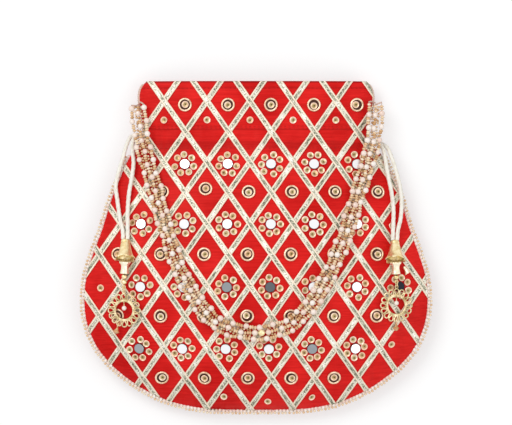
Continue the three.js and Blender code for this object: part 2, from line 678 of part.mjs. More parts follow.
function ball(radius, holeRadius = 0, segments = 7) {
  const steps = 4;
  const half = Math.acos(holeRadius / radius);
  const profilePoints = Array.from({ length: steps + 1 }, (_, i) => {
    const angle = -half + (2 * half * i) / steps;
    return new THREE.Vector2(radius * Math.cos(angle), radius * Math.sin(angle));
  });
  if (holeRadius) profilePoints.push(profilePoints[0].clone());
  return lathe(profilePoints, segments);
}

// LatheGeometry leaves a seam and doubled poles, which merging closes
function lathe(profilePoints, segments) {
  const turned = new THREE.LatheGeometry(profilePoints, segments);
  turned.deleteAttribute('normal');
  turned.deleteAttribute('uv');
  const merged = mergeVertices(turned, 1e-4);
  const position = merged.attributes.position;
  const points = Array.from({ length: position.count }, (_, i) => new THREE.Vector3().fromBufferAttribute(position, i));
  const triangles = [];
  for (let i = 0; i < merged.index.count; i += 3) {
    const [a, b, c] = [0, 1, 2].map((k) => merged.index.getX(i + k));
    if (a !== b && b !== c && c !== a) triangles.push([a, b, c]);
  }
  return closedBody(points, triangles);
}

const centreY = (STRAND_LEFT[STRAND_LEFT.length - 1][1] + STRAND_RIGHT[0][1]) / 2;
const centreBead = add('centre_bead', ball(CENTRE_BEAD_R), GOLD);
centreBead.position.copy(overFront([CENTRE_BEAD_X, centreY, CENTRE_BEAD_LIFT]));

// Thread windings that hold the garland's ends beside the mouth
for (const [side, name] of [[-1, 'left'], [1, 'right']]) {
  const half = WINDING_LENGTH / 2;
  const turns = [[0, -half], [WINDING_R * 0.8, -half], [WINDING_R, -half * 0.5], [WINDING_R * 0.85, 0],
    [WINDING_R, half * 0.5], [WINDING_R * 0.8, half], [0, half]];
  const winding = add(`handle_winding_${name}`, lathe(turns.map(([r, y]) => new THREE.Vector2(r, y)), 8), IVORY);
  const x = side * (halfWidth(WINDING_Y - half) + FIT_GAP + WINDING_R);
  winding.position.set(x, WINDING_Y, seamHeight(WINDING_Y));
}

// Tassel pieces, each about its own Y axis with its top towards +Y
function capProfile() {
  const inner = CAP_RIM_R - CAP_WALL;
  return [[0, 0], [CAP_TOP_R, 0], [CAP_TOP_R, -2.4], [4.3, -5.4], [5.4, -9.6], [CAP_RIM_R, -CAP_LENGTH],
    [inner, -CAP_LENGTH], [4.7, -9.4], [2.6, -4.4], [0, -4]];
}

function bellProfile(length, topR, waistR, mouthR, wall) {
  return [[PIN_HOLE_R, 0], [topR, -0.6], [waistR, -length * 0.42], [mouthR * 0.8, -length * 0.7], [mouthR, -length],
    [mouthR - wall, -length], [mouthR * 0.8 - wall, -length * 0.72], [waistR - wall, -length * 0.45],
    [topR - wall * 2, -1.4], [PIN_HOLE_R, -0.8], [PIN_HOLE_R, 0]];
}

function turnedFrom(points, segments = 8) {
  return lathe(points.map(([r, y]) => new THREE.Vector2(r, y)), segments);
}

function ringBody(radius, wire) {
  return new THREE.TorusGeometry(radius, wire, 4, 9);
}

// A ring standing in the plane of Y and Z, at a distance down the Y axis
function standingRing(radius, wire) {
  return ringBody(radius, wire).rotateY(Math.PI / 2);
}

function fuse(...geometries) {
  return toGeometry(geometries.map((geometry) => toSolid(geometry)).reduce((sum, next) => sum.add(next)));
}

// The pin that carries bell and beads: a head inside the cap and an eye at the lower end
function pinBody(length) {
  const wire = new THREE.CylinderGeometry(PIN_R, PIN_R, length - LOOP_R, 6).translate(0, -(length - LOOP_R) / 2, 0);
  const head = ball(1, 0, 6);
  const eye = ringBody(LOOP_R, LOOP_WIRE).translate(0, -length, 0);
  return fuse(wire, head, eye);
}

const LOOP_SINK = 0.4; // how far a loop's wire sinks into the piece that it is soldered to
const pendantLoopY = PENDANT_PEAK_R + LOOP_R + LOOP_WIRE - LOOP_SINK; // its middle over the pendant's centre

function pendantBody() {
  const peak = (i) => (i % 2 ? PENDANT_VALLEY_R : PENDANT_PEAK_R);
  const shape = radialShape(2 * PENDANT_PETALS, peak);
  shape.holes.push(radialShape(PENDANT_PETALS, () => PENDANT_HOLE_R));
  for (let petal = 0; petal < PENDANT_PETALS; petal++) {
    const angle = petalAngle(petal);
    const corners = [[SLOT_INNER_R, -SLOT_INNER_HALF], [SLOT_OUTER_R, -SLOT_OUTER_HALF],
      [SLOT_OUTER_R, SLOT_OUTER_HALF], [SLOT_INNER_R, SLOT_INNER_HALF]];
    shape.holes.push(new THREE.Path(corners.map(([along, aside]) => new THREE.Vector2(
      along * Math.cos(angle) - aside * Math.sin(angle),
      along * Math.sin(angle) + aside * Math.cos(angle),
    ))));
  }
  const options = { depth: PENDANT_THICKNESS, bevelEnabled: false };
  const plate = new THREE.ExtrudeGeometry(shape, options).translate(0, 0, -PENDANT_THICKNESS / 2);
  const loop = ringBody(LOOP_R, LOOP_WIRE).translate(0, pendantLoopY, 0);
  return fuse(plate, loop);
}

function petalAngle(petal) {
  return (2 * Math.PI * petal) / PENDANT_PETALS;
}


function pearlDropBody() {
  const pinLength = PEARL_DROP_PIN;
  const top = -PEARL_DROP_LOOP_R;
  const pin = new THREE.CylinderGeometry(DROP_WIRE, DROP_WIRE, pinLength, 6).translate(0, top - pinLength / 2, 0);
  const pearl = ball(PEARL_DROP_R).translate(0, top - pinLength - PEARL_DROP_R + 0.3, 0);
  return fuse(standingRing(PEARL_DROP_LOOP_R, DROP_WIRE), pin, pearl);
}

function amberDropBody() {
  const top = -AMBER_LOOP_R;
  const drop = turnedFrom([[0, top], [AMBER_R * 0.45, top - 0.8], [AMBER_R, top - AMBER_LENGTH * 0.65],
    [AMBER_R * 0.6, top - AMBER_LENGTH * 0.95], [0, top - AMBER_LENGTH]], 8);
  return fuse(standingRing(AMBER_LOOP_R, DROP_WIRE), drop);
}

// A group at a point, its Y along one direction and its Z as near as can be to another
function frameAt(point, up, normal) {
  const right = new THREE.Vector3().crossVectors(up, normal).normalize();
  const out = new THREE.Vector3().crossVectors(right, up).normalize();
  const group = new THREE.Group();
  group.applyMatrix4(new THREE.Matrix4().makeBasis(right, up, out).setPosition(point));
  model.add(group);
  return group;
}

for (const { side, x, capY, pendantY, amberPetal, beads } of TASSELS) {
  const normal = frontNormal(x, pendantY);
  const across = new THREE.Vector3(0, 1, 0).cross(normal).normalize();
  const upBag = new THREE.Vector3().crossVectors(normal, across);

  // Pendant plane and the jump ring's centre over it
  const centre = overFront([x, pendantY, 0]).addScaledVector(normal, PENDANT_REST);
  const ringCentre = centre.clone().addScaledVector(upBag, pendantLoopY + JUMP_RING_R);

  const capTop = overFront([x, capY, CAP_REST]);
  const rimY = capY - CAP_LENGTH;
  const capRim = overFront([x, rimY, CAP_RIM_REST]);
  const cap = frameAt(capTop, capTop.clone().sub(capRim).normalize(), normal);
  add(`cord_cap_${side}`, turnedFrom(capProfile()), GOLD, cap);

  // The pin runs from inside the cap to its eye on the jump ring
  const pinTop = capTop.clone().lerp(capRim, PIN_START);
  const pinUp = pinTop.clone().sub(ringCentre).normalize();
  const pinLength = pinTop.distanceTo(ringCentre) - JUMP_RING_R;
  const pin = frameAt(pinTop, pinUp, normal);
  add(`tassel_pin_${side}`, pinBody(pinLength), GOLD, pin);
  const beadSpan = 2 * Math.sqrt(METAL_BEAD_R ** 2 - PIN_HOLE_R ** 2);
  const lowBeadY = -pinLength + LOOP_R + LOOP_WIRE + FIT_GAP + beadSpan / 2;
  const beadStep = beadSpan + FIT_GAP;
  beads.forEach((name, i) => {
    add(`metal_bead_${name}_${side}`, ball(METAL_BEAD_R, PIN_HOLE_R), GOLD, pin).position.y = lowBeadY + i * beadStep;
  });
  const bellTop = lowBeadY + (beads.length - 0.5) * beadStep + FIT_GAP / 2 + BELL_LENGTH;
  const bellPoints = bellProfile(BELL_LENGTH, BELL_TOP_R, BELL_WAIST_R, BELL_MOUTH_R, 0.6);
  add(`inner_bell_${side}`, turnedFrom(bellPoints), GOLD, pin).position.y = bellTop;

  const ring = frameAt(ringCentre, upBag, normal);
  add(`jump_ring_${side}`, standingRing(JUMP_RING_R, JUMP_RING_WIRE), GOLD, ring);
  const pendant = frameAt(centre, upBag, normal);
  add(`pendant_${side}`, pendantBody(), ANTIQUE, pendant);
  const pearlDrop = add(`pearl_drop_${side}`, pearlDropBody(), PEARL, pendant);
  pearlDrop.position.y = (PENDANT_HOLE_R + SLOT_INNER_R) / 2;
  const angle = petalAngle(amberPetal);
  const hangR = (SLOT_OUTER_R + PENDANT_PEAK_R) / 2;
  const amber = add(`amber_drop_${side}`, amberDropBody(), AMBER, pendant);
  amber.position.set(hangR * Math.cos(angle), hangR * Math.sin(angle), 0);
  amber.rotation.z = angle + Math.PI / 2;
}

// The right tassel's small bell lies beside its beads
const bellSpot = overFront([TASSELS[1].x + SIDE_BELL.x, TASSELS[1].capY + SIDE_BELL.y, SIDE_BELL.rest]);
const bellUp = new THREE.Vector3(-Math.sin(SIDE_BELL.turn), Math.cos(SIDE_BELL.turn), 0);
const bellFrame = frameAt(bellSpot, bellUp, new THREE.Vector3(0, 0, 1));
const sideBell = [[0, 0], [SIDE_BELL.topR, -0.6], [SIDE_BELL.topR, -2], [SIDE_BELL.mouthR, -SIDE_BELL.length],
  [SIDE_BELL.mouthR - SIDE_BELL.wall, -SIDE_BELL.length], [0, -2.6]];
add('side_bell_right', turnedFrom(sideBell, 8), GOLD, bellFrame);

export default model;
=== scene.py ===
"""Potli bag of red silk, lying on its back: the finish of every piece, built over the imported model.

Shapes are worked out in millimetres in the model's own frame (+Z up, the mouth towards +Y, the front
panel on top) and written to the meshes in metres.
"""

import logging
from dataclasses import dataclass, field
from enum import Enum

import bpy
import numpy as np
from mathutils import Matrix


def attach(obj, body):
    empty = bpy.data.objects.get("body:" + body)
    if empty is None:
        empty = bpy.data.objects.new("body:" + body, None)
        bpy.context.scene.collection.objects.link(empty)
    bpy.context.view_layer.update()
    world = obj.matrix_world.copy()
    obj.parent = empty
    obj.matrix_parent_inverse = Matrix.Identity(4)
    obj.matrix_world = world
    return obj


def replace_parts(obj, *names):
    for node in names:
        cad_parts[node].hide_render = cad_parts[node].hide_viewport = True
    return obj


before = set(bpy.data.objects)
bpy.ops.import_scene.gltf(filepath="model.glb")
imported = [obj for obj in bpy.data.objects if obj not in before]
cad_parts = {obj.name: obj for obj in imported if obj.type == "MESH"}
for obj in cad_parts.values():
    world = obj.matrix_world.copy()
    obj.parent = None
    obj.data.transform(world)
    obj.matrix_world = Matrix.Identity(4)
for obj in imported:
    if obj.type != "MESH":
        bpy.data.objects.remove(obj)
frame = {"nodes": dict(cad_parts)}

MM = 0.001
UP = np.array([0.0, 0.0, 1.0])
BAG = "bag"
log = logging.getLogger("potli")


class Side(Enum):
    """The two sides of the bag, with the sign of X there."""

    LEFT = -1
    RIGHT = 1

    @property
    def word(self) -> str:
        """The side's name in node names."""
        return self.name.lower()


class Slot(Enum):
    """The record's material slots."""

    SILK = "silk"
    LINING = "lining_satin"
    LACE = "gota"
    GOLD = "gold"
    ANTIQUE = "antique_gold"
    GLASS = "mirror_glass"
    CORD = "ivory_cord"
    PEARL = "pearl"
    AMBER = "amber"


# Surfaces as whole arrays


@dataclass
class Surface:
    """Points in millimetres, with four- and three-sided faces and named values at the points."""

    points: np.ndarray
    quads: np.ndarray
    tris: np.ndarray = field(default_factory=lambda: np.zeros((0, 3), int))
    values: dict[str, np.ndarray] = field(default_factory=dict)

    def outward(self) -> "Surface":
        """Turn the faces outwards, so that the volume summed over them as a . (b x c) is positive."""
        halves = np.vstack([self.quads[:, [0, 1, 2]], self.quads[:, [0, 2, 3]], self.tris])
        a, b, c = (self.points[halves[:, k]] for k in range(3))
        if np.einsum("ij,ij->", a, np.cross(b, c)) < 0:
            self.quads = self.quads[:, ::-1]
            self.tris = self.tris[:, ::-1]
        return self

    def moved(self, basis: np.ndarray, origin: np.ndarray) -> "Surface":
        """Place the surface: each point becomes origin + basis @ point."""
        return Surface(self.points @ basis.T + origin, self.quads, self.tris, self.values)


def join(surfaces: list[Surface]) -> Surface:
    """Put surfaces together in one, without merging their points.

    Args:
        surfaces: the surfaces, with the same named values.

    Returns:
        One surface with all their points and faces.
    """
    starts = np.cumsum([0] + [len(s.points) for s in surfaces[:-1]])
    names = surfaces[0].values.keys()
    return Surface(
        np.vstack([s.points for s in surfaces]),
        np.vstack([s.quads + start for s, start in zip(surfaces, starts)]),
        np.vstack([s.tris + start for s, start in zip(surfaces, starts)]),
        {name: np.concatenate([s.values[name] for s in surfaces]) for name in names},
    )


def grid_quads(rows: int, columns: int, wrap_rows: bool = False, wrap_columns: bool = False) -> np.ndarray:
    """Faces between the neighbours of a grid of points numbered row by row.

    Args:
        rows: how many rows of points.
        columns: how many points in a row.
        wrap_rows: join the last row to the first.
        wrap_columns: join the last point of a row to its first.

    Returns:
        An array of four point numbers a face.
    """
    row, column = np.meshgrid(
        np.arange(rows if wrap_rows else rows - 1), np.arange(columns if wrap_columns else columns - 1),
        indexing="ij"
    )
    row, column = row.ravel(), column.ravel()
    below, beside = (row + 1) % rows, (column + 1) % columns
    return np.stack(
        [row * columns + column, below * columns + column, below * columns + beside,
         row * columns + beside], axis=1
    )


def shell(outer: np.ndarray, inner: np.ndarray, values: dict[str, np.ndarray] | None = None) -> Surface:
    """Close two matching grids along their four borders.

    Args:
        outer: outer points, rows by columns by 3.
        inner: inner points of the same shape.
        values: named values, one for each point of a grid, used for both grids.

    Returns:
        The closed surface.
    """
    rows, columns = outer.shape[:2]
    count = rows * columns
    face = grid_quads(rows, columns)
    number = np.arange(count).reshape(rows, columns)
    rim = np.concatenate([number[0, :-1], number[:-1, -1], number[-1, :0:-1], number[:0:-1, 0]])
    after = np.roll(rim, -1)
    border = np.stack([rim, after, after + count, rim + count], axis=1)
    quads = np.vstack([face, face[:, ::-1] + count, border])
    both = {name: np.concatenate([v.reshape(count, *v.shape[2:])] * 2) for name, v in (values or {}).items()}
    return Surface(np.vstack([outer.reshape(-1, 3), inner.reshape(-1, 3)]), quads, values=both).outward()


def tube(rings: np.ndarray, values: dict[str, np.ndarray] | None = None) -> Surface:
    """Close a row of rings of points, with a fan of triangles over each end.

    Args:
        rings: points, rings by points in a ring by 3.
        values: named values at the rings' points.

    Returns:
        The closed surface.
    """
    count, sides = rings.shape[:2]
    ends = np.stack([rings[0].mean(0), rings[-1].mean(0)])
    first, last = count * sides, count * sides + 1
    start = np.arange(sides)
    after = (start + 1) % sides
    near = np.stack([np.full(sides, first), start, after], axis=1)
    far = np.stack([np.full(sides, last), after + (count - 1) * sides, start + (count - 1) * sides], axis=1)
    extended = {}
    for name, value in (values or {}).items():
        flat = value.reshape(count * sides, *value.shape[2:])
        extended[name] = np.concatenate([flat, flat[:1], flat[-1:]])
    points = np.vstack([rings.reshape(-1, 3), ends])
    quads = grid_quads(count, sides, wrap_columns=True)[:, ::-1]
    return Surface(points, quads, np.vstack([near, far]), extended).outward()


def ring_surface(rings: np.ndarray, values: dict[str, np.ndarray] | None = None) -> Surface:
    """Close a row of rings on itself, as on a torus: the last ring joins the first.

    Args:
        rings: points, rings by points in a ring by 3.
        values: named values at the rings' points.

    Returns:
        The closed surface.
    """
    count, sides = rings.shape[:2]
    flat = {name: v.reshape(count * sides, *v.shape[2:]) for name, v in (values or {}).items()}
    return Surface(rings.reshape(-1, 3), grid_quads(count, sides, True, True), values=flat).outward()


def circle(count: int) -> np.ndarray:
    """Even angles round a whole turn, from 0."""
    return np.linspace(0, 2 * np.pi, count, endpoint=False)


def unit(vectors: np.ndarray) -> np.ndarray:
    """Rows of vectors, each made one long."""
    return vectors / np.linalg.norm(vectors, axis=-1, keepdims=True)


def distances(line: np.ndarray) -> np.ndarray:
    """Distance along a line of points at each of them, from 0."""
    return np.concatenate([[0], np.cumsum(np.linalg.norm(np.diff(line, axis=0), axis=1))])


def read_at(at: np.ndarray, reach: np.ndarray, vectors: np.ndarray) -> np.ndarray:
    """Vectors known at the distances reach along a line, read at other distances."""
    return np.stack([np.interp(at, reach, vectors[:, k]) for k in range(3)], axis=1)


def turned(profile: np.ndarray, sides: int, petals: int = 0, depth: float = 0.0,
           closed: bool = False) -> Surface:
    """A profile of (radius, height) turned about Y, with the radius swelling and shrinking as petals.

    The point at angle a is (r cos a, h, r sin a), where r = radius (1 + depth share cos(petals a)) and share
    grows with the square of how far the profile has flared, so that the petals open towards the rim.

    Args:
        profile: radius and height of each station, in millimetres.
        sides: points round the axis.
        petals: how many petals round the rim.
        depth: share by which the widest radius swells and shrinks.
        closed: the profile is a closed loop; otherwise its first and last stations lie on the axis.

    Returns:
        The closed surface, with "reach", the share of the widest radius, at its points.
    """
    radius, height = profile[:, 0], profile[:, 1]
    angle = circle(sides)
    share = (radius / radius.max()) ** 4
    swell = radius[:, None] * (1 + depth * share[:, None] * np.cos(petals * angle)[None, :])
    rings = np.stack(
        [swell * np.cos(angle), np.broadcast_to(height[:, None], swell.shape), swell * np.sin(angle)], axis=2
    )
    reach = swell / radius.max()
    if closed:
        return ring_surface(rings, {"reach": reach})
    return tube(rings[1:-1] if radius[0] == 0 else rings,
                {"reach": reach[1:-1] if radius[0] == 0 else reach})


def ball(radius: float, sides: int = 16, rings: int = 9, stretch: float = 1.0) -> Surface:
    """A ball about the origin: radius r cos b round Y at height r stretch sin b.

    Args:
        radius: in millimetres.
        sides: points round the axis.
        rings: rings between the poles.
        stretch: height over width.

    Returns:
        The closed surface.
    """
    rise = np.linspace(-np.pi / 2, np.pi / 2, rings + 2)[1:-1]
    angle = circle(sides)
    across = radius * np.cos(rise)[:, None]
    points = np.stack(
        [across * np.cos(angle), np.broadcast_to(radius * stretch * np.sin(rise)[:, None], (rings, sides)),
         across * np.sin(angle)], axis=2,
    )
    surface = tube(points, {"reach": np.ones((rings, sides))})
    surface.points[-2:] = [[0, -radius * stretch, 0], [0, radius * stretch, 0]]
    return surface


def wire_ring(radius: float, wire: float, sides: int = 40, around: int = 10, plane: str = "xy",
              milled: int = 0, depth: float = 0.0) -> Surface:
    """A ring of round wire about the origin: (R + w cos b) round the axis, w sin b along it.

    Args:
        radius: of the wire's middle line.
        wire: radius of the wire itself.
        sides: stations round the ring.
        around: points round the wire.
        plane: "xy" or "yz", the plane that the ring lies in.
        milled: how many notches the wire has round the ring.
        depth: share by which the wire thins at a notch.

    Returns:
        The closed surface.
    """
    a, b = circle(sides)[:, None], circle(around)[None, :]
    thick = wire * (1 + depth * np.cos(milled * a))
    out = radius + thick * np.cos(b)
    first, second, third = out * np.cos(a), out * np.sin(a), thick * np.sin(b) + 0 * a
    order = [first, second, third] if plane == "xy" else [third, first, second]
    return ring_surface(np.stack(order, axis=2), {"reach": np.ones((sides, around))})


def copies(template: Surface, bases: np.ndarray, origins: np.ndarray,
           values: dict[str, np.ndarray] | None = None) -> Surface:
    """Many copies of one surface: copy k has the points origins[k] + bases[k] @ point.

    Args:
        template: the surface to repeat.
        bases: one 3 by 3 matrix a copy.
        origins: one point a copy.
        values: one number a copy, for each name.

    Returns:
        All copies in one surface.
    """
    count, size = len(origins), len(template.points)
    points = np.einsum("kij,pj->kpi", bases, template.points) + origins[:, None, :]
    shift = (np.arange(count) * size)[:, None, None]
    named = {name: np.tile(value, count) for name, value in template.values.items()}
    named.update({name: np.repeat(value, size) for name, value in (values or {}).items()})
    return Surface(
        points.reshape(-1, 3),
        (template.quads[None] + shift).reshape(-1, 4),
        (template.tris[None] + shift).reshape(-1, 3),
        named,
    )


def smooth_route(points: np.ndarray, step: float) -> np.ndarray:
    """A smooth line through points (a centripetal Catmull-Rom curve), cut into even steps.

    Between two points the curve is the cubic whose end slopes come from the neighbours, with each stretch
    weighted by the square root of its length.

    Args:
        points: the points that the line goes through, in order.
        step: about how long each piece of the line is.

    Returns:
        Points along the line, evenly spaced, ends included.
    """
    whole = np.vstack([2 * points[0] - points[1], points, 2 * points[-1] - points[-2]])
    span = np.linalg.norm(np.diff(whole, axis=0), axis=1) ** 0.5
    p0, p1, p2, p3 = whole[:-3], whole[1:-2], whole[2:-1], whole[3:]
    d0, d1, d2 = (span[k:len(span) - 2 + k, None] for k in range(3))
    slope1 = ((p1 - p0) / d0 - (p2 - p0) / (d0 + d1) + (p2 - p1) / d1) * d1
    slope2 = ((p2 - p1) / d1 - (p3 - p1) / (d1 + d2) + (p3 - p2) / d2) * d1
    t = np.linspace(0, 1, 60, endpoint=False)[None, :, None]
    cubic = (
        p1[:, None] + slope1[:, None] * t
        + (3 * (p2 - p1) - 2 * slope1 - slope2)[:, None] * t**2
        + (2 * (p1 - p2) + slope1 + slope2)[:, None] * t**3
    )
    dense = np.vstack([cubic.reshape(-1, 3), points[-1:]])
    reach = distances(dense)
    even = np.linspace(0, reach[-1], max(3, int(round(reach[-1] / step)) + 1))
    return read_at(even, reach, dense)


def route_frames(route: np.ndarray) -> tuple[np.ndarray, np.ndarray, np.ndarray]:
    """Directions at each point of a line that nowhere stands upright.

    Args:
        route: points along the line.

    Returns:
        The unit vectors along the line, to its side (level) and up from it.
    """
    along = unit(np.gradient(route, axis=0))
    aside = unit(np.cross(UP, along))
    return along, aside, np.cross(along, aside)


def swept(route: np.ndarray, radius: np.ndarray | float, sides: int, twist: float = 0.0,
          plies: int = 0, depth: float = 0.0) -> Surface:
    """A round cord along a line, with the grooves of its plies winding round it.

    At distance s along the line and angle a round it the radius is radius (1 - depth (1 - |cos(plies (a -
    twist s) / 2)|)), so each ply is a rounded ridge and each groove is sharp.

    Args:
        route: points along the line.
        radius: of the cord, one number or one a point.
        sides: points round the cord.
        twist: turn of the plies for each millimetre, in radians.
        plies: how many plies.
        depth: depth of the grooves as a share of the radius.

    Returns:
        The closed surface, with "along", the distance in millimetres, at its points.
    """
    _, aside, up = route_frames(route)
    reach = distances(route)
    angle = circle(sides)[None, :]
    groove = 1 - np.abs(np.cos(plies * (angle - twist * reach[:, None]) / 2)) if plies else 0 * angle
    size = np.broadcast_to(np.asarray(radius, float).reshape(-1, 1), (len(route), 1)) * (1 - depth * groove)
    rings = (
        route[:, None, :]
        + (size * np.cos(angle))[:, :, None] * aside[:, None, :]
        + (size * np.sin(angle))[:, :, None] * up[:, None, :]
    )
    return tube(rings, {"along": np.broadcast_to(reach[:, None], rings.shape[:2]).copy()})


def basis_of(up: np.ndarray, normal: np.ndarray) -> np.ndarray:
    """A turned frame: its Y along one direction and its Z as near as can be to another.

    Args:
        up: direction of Y.
        normal: direction that Z keeps near to.

    Returns:
        A 3 by 3 matrix whose columns are the frame's X, Y and Z.
    """
    up = up / np.linalg.norm(up)
    right = np.cross(up, normal)
    right /= np.linalg.norm(right)
    return np.stack([right, up, np.cross(right, up)], axis=1)


def to_object(name: str, surface: Surface, finish: bpy.types.Material, body: str = BAG,
              crease: float | None = None) -> bpy.types.Object:
    """Make a Blender object of a surface, riding on a body.

    Args:
        name: the piece's name.
        surface: its shape in millimetres.
        finish: its material.
        body: the body that it moves with.
        crease: edges sharper than this angle in degrees are drawn sharp; smooth all over if left out.

    Returns:
        The object.
    """
    mesh = bpy.data.meshes.new(name)
    faces = surface.quads.tolist() + surface.tris.tolist()
    mesh.from_pydata((surface.points * MM).tolist(), [], faces)
    mesh.polygons.foreach_set("use_smooth", np.ones(len(faces), bool))
    for key, value in surface.values.items():
        if key == "uv":
            corner = np.zeros(len(mesh.loops), np.int32)
            mesh.loops.foreach_get("vertex_index", corner)
            layer = mesh.uv_layers.new(name="UVMap")
            layer.data.foreach_set("uv", value[corner].astype(np.float32).ravel())
        else:
            layer = mesh.attributes.new(key, "FLOAT", "POINT")
            layer.data.foreach_set("value", np.asarray(value, np.float32).ravel())
    if crease is not None:
        mesh.set_sharp_from_angle(angle=np.radians(crease))
    mesh.update()
    mesh.materials.append(finish)
    piece = bpy.data.objects.new(name, mesh)
    bpy.context.scene.collection.objects.link(piece)
    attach(piece, body)
    log.info("%s: %d points, %d faces", name, len(surface.points), len(faces))
    return piece


# Finishes


class Recipe:
    """A material put together node by node, round one Principled shader."""

    def __init__(self, name: str) -> None:
        """Start an empty material with a shader and an output."""
        self.material = bpy.data.materials.new(name)
        self.material.use_nodes = True
        self.tree = self.material.node_tree
        self.shader = self.tree.nodes["Principled BSDF"]

    def set(self, **inputs: object) -> "Recipe":
        """Set constant sockets of the shader; an underscore stands for a space in a socket's name."""
        for name, value in inputs.items():
            self.shader.inputs[name.replace("_", " ")].default_value = value
        return self

    def node(self, kind: str, inputs: dict | None = None, **settings: object) -> bpy.types.Node:
        """Add a node.

        Args:
            kind: the node's type without its "ShaderNode" start.
            inputs: value or output socket for each named or numbered input.
            settings: the node's own settings.

        Returns:
            The node.
        """
        node = self.tree.nodes.new("ShaderNode" + kind)
        for name, value in settings.items():
            setattr(node, name, value)
        for name, value in (inputs or {}).items():
            if isinstance(value, bpy.types.NodeSocket):
                self.tree.links.new(value, node.inputs[name])
            else:
                node.inputs[name].default_value = value
        return node

    def link(self, output: bpy.types.NodeSocket, name: str) -> None:
        """Feed one of the shader's sockets."""
        self.tree.links.new(output, self.shader.inputs[name])

    def place(self, kind: str = "Object",
              scale: tuple[float, float, float] = (1, 1, 1)) -> bpy.types.NodeSocket:
        """Coordinates for a pattern.

        Args:
            kind: "Object" or "UV".
            scale: repeats for each metre (or UV unit) along each axis.

        Returns:
            The socket with the coordinates.
        """
        source = self.node("TexCoord").outputs[kind]
        return self.node("Mapping", {"Vector": source, "Scale": scale}).outputs[0]

    def noise(self, where: bpy.types.NodeSocket, scale: float, detail: float = 2.0,
              rough: float = 0.5) -> bpy.types.NodeSocket:
        """Noise between 0 and 1."""
        inputs = {"Vector": where, "Scale": scale, "Detail": detail, "Roughness": rough}
        return self.node("TexNoise", inputs).outputs[0]

    def attribute(self, name: str) -> bpy.types.NodeSocket:
        """A named value of the mesh's points."""
        return self.node("Attribute", attribute_name=name).outputs["Fac"]

    def ramp(self, value: bpy.types.NodeSocket, *stops: tuple[float, tuple]) -> bpy.types.NodeSocket:
        """Colour along a value.

        Args:
            value: the socket with the value.
            stops: place and colour (red, green, blue) or grey number of each stop.

        Returns:
            The colour socket.
        """
        node = self.node("ValToRGB", {"Fac": value})
        band = node.color_ramp.elements
        while len(band) < len(stops):
            band.new(0.5)
        for element, (place, colour) in zip(band, stops):
            element.position = place
            colour = colour if isinstance(colour, tuple) else (colour,) * 3
            element.color = (*colour, 1)
        return node.outputs[0]

    def mix(self, share: bpy.types.NodeSocket | float, first: object, second: object,
            blend: str = "MIX") -> bpy.types.NodeSocket:
        """Mix two colours, or colour sockets, by a share."""
        node = self.node("Mix", data_type="RGBA", blend_type=blend)
        for index, value in ((0, share), (6, first), (7, second)):
            if isinstance(value, bpy.types.NodeSocket):
                self.tree.links.new(value, node.inputs[index])
            elif index == 0:
                node.inputs[index].default_value = value
            else:
                node.inputs[index].default_value = (*value, 1)
        return node.outputs[2]

    def sums(self, operation: str, first: object, second: object = 0.0) -> bpy.types.NodeSocket:
        """One step of arithmetic."""
        return self.node("Math", {0: first, 1: second}, operation=operation).outputs[0]

    def bump(self, height: bpy.types.NodeSocket, strength: float, distance: float) -> None:
        """Add relief over what the shader already has.

        Args:
            height: the socket with the height.
            strength: share of the relief that shows.
            distance: height in metres of one unit.
        """
        node = self.node("Bump", {"Height": height, "Strength": strength, "Distance": distance})
        below = self.shader.inputs["Normal"].links
        if below:
            self.tree.links.new(below[0].from_socket, node.inputs["Normal"])
        self.link(node.outputs[0], "Normal")


@dataclass(frozen=True)
class SilkFinish:
    """Dupion silk: a fine weave with thick weft threads (slubs) across the bag, and a soft sheen."""

    name: str = "red_silk"
    deep: tuple = (0.54, 0.004, 0.004)
    bright: tuple = (0.9, 0.022, 0.02)
    sheen: tuple = (1.0, 0.12, 0.1, 1)
    gloss: tuple = (1.0, 0.3, 0.26, 1)

    def build(self) -> bpy.types.Material:
        """Make the material: slub streaks and painted shade in the colour, weave and slubs in the relief."""
        r = Recipe(self.name).set(Roughness=0.44, Sheen_Weight=0.1, Sheen_Roughness=0.4,
                                  Specular_IOR_Level=0.3, Sheen_Tint=self.sheen, Specular_Tint=self.gloss)
        slubs = r.noise(r.place(scale=(45, 900, 300)), 1.0, 3, 0.6)
        cloud = r.noise(r.place(scale=(30, 22, 30)), 1.0, 3, 0.55)
        tone = r.sums("ADD", r.sums("MULTIPLY", slubs, 0.45), r.sums("MULTIPLY", cloud, 0.55))
        thread = r.ramp(tone, (0.34, self.deep), (0.52, tuple(np.mean([self.deep, self.bright], axis=0))),
                        (0.68, self.bright))
        # Painted shade: the silk's colour darkens where the shade value is high, in the tuck, the hem's folds
        # and at the mouth.
        shadow = r.ramp(r.attribute("shade"), (0.0, 1.0), (1.0, (0.3, 0.2, 0.2)))
        r.link(r.mix(1.0, thread, shadow, "MULTIPLY"), "Base Color")
        weft, warp = (r.node("TexWave", {"Vector": r.place(), "Scale": scale, "Distortion": bend},
                             bands_direction=way).outputs[1]
                      for scale, bend, way in ((380.0, 0.5, "Y"), (420.0, 0.4, "X")))
        r.bump(r.sums("MULTIPLY", weft, warp), 0.25, 0.00008)
        r.bump(slubs, 0.35, 0.00025)
        r.bump(cloud, 0.25, 0.0012)
        return r.material


@dataclass(frozen=True)
class SatinFinish:
    """Plain lining satin: a smooth weave with long soft streaks."""

    name: str = "maroon_satin"
    deep: tuple = (0.28, 0.004, 0.008)
    bright: tuple = (0.5, 0.01, 0.018)

    def build(self) -> bpy.types.Material:
        """Make the material."""
        r = Recipe(self.name).set(Roughness=0.38, Sheen_Weight=0.15, Specular_IOR_Level=0.5)
        streak = r.noise(r.place(scale=(700, 35, 120)), 1.0, 2, 0.5)
        r.link(r.ramp(streak, (0.3, self.deep), (0.7, self.bright)), "Base Color")
        r.bump(streak, 0.2, 0.0002)
        return r.material


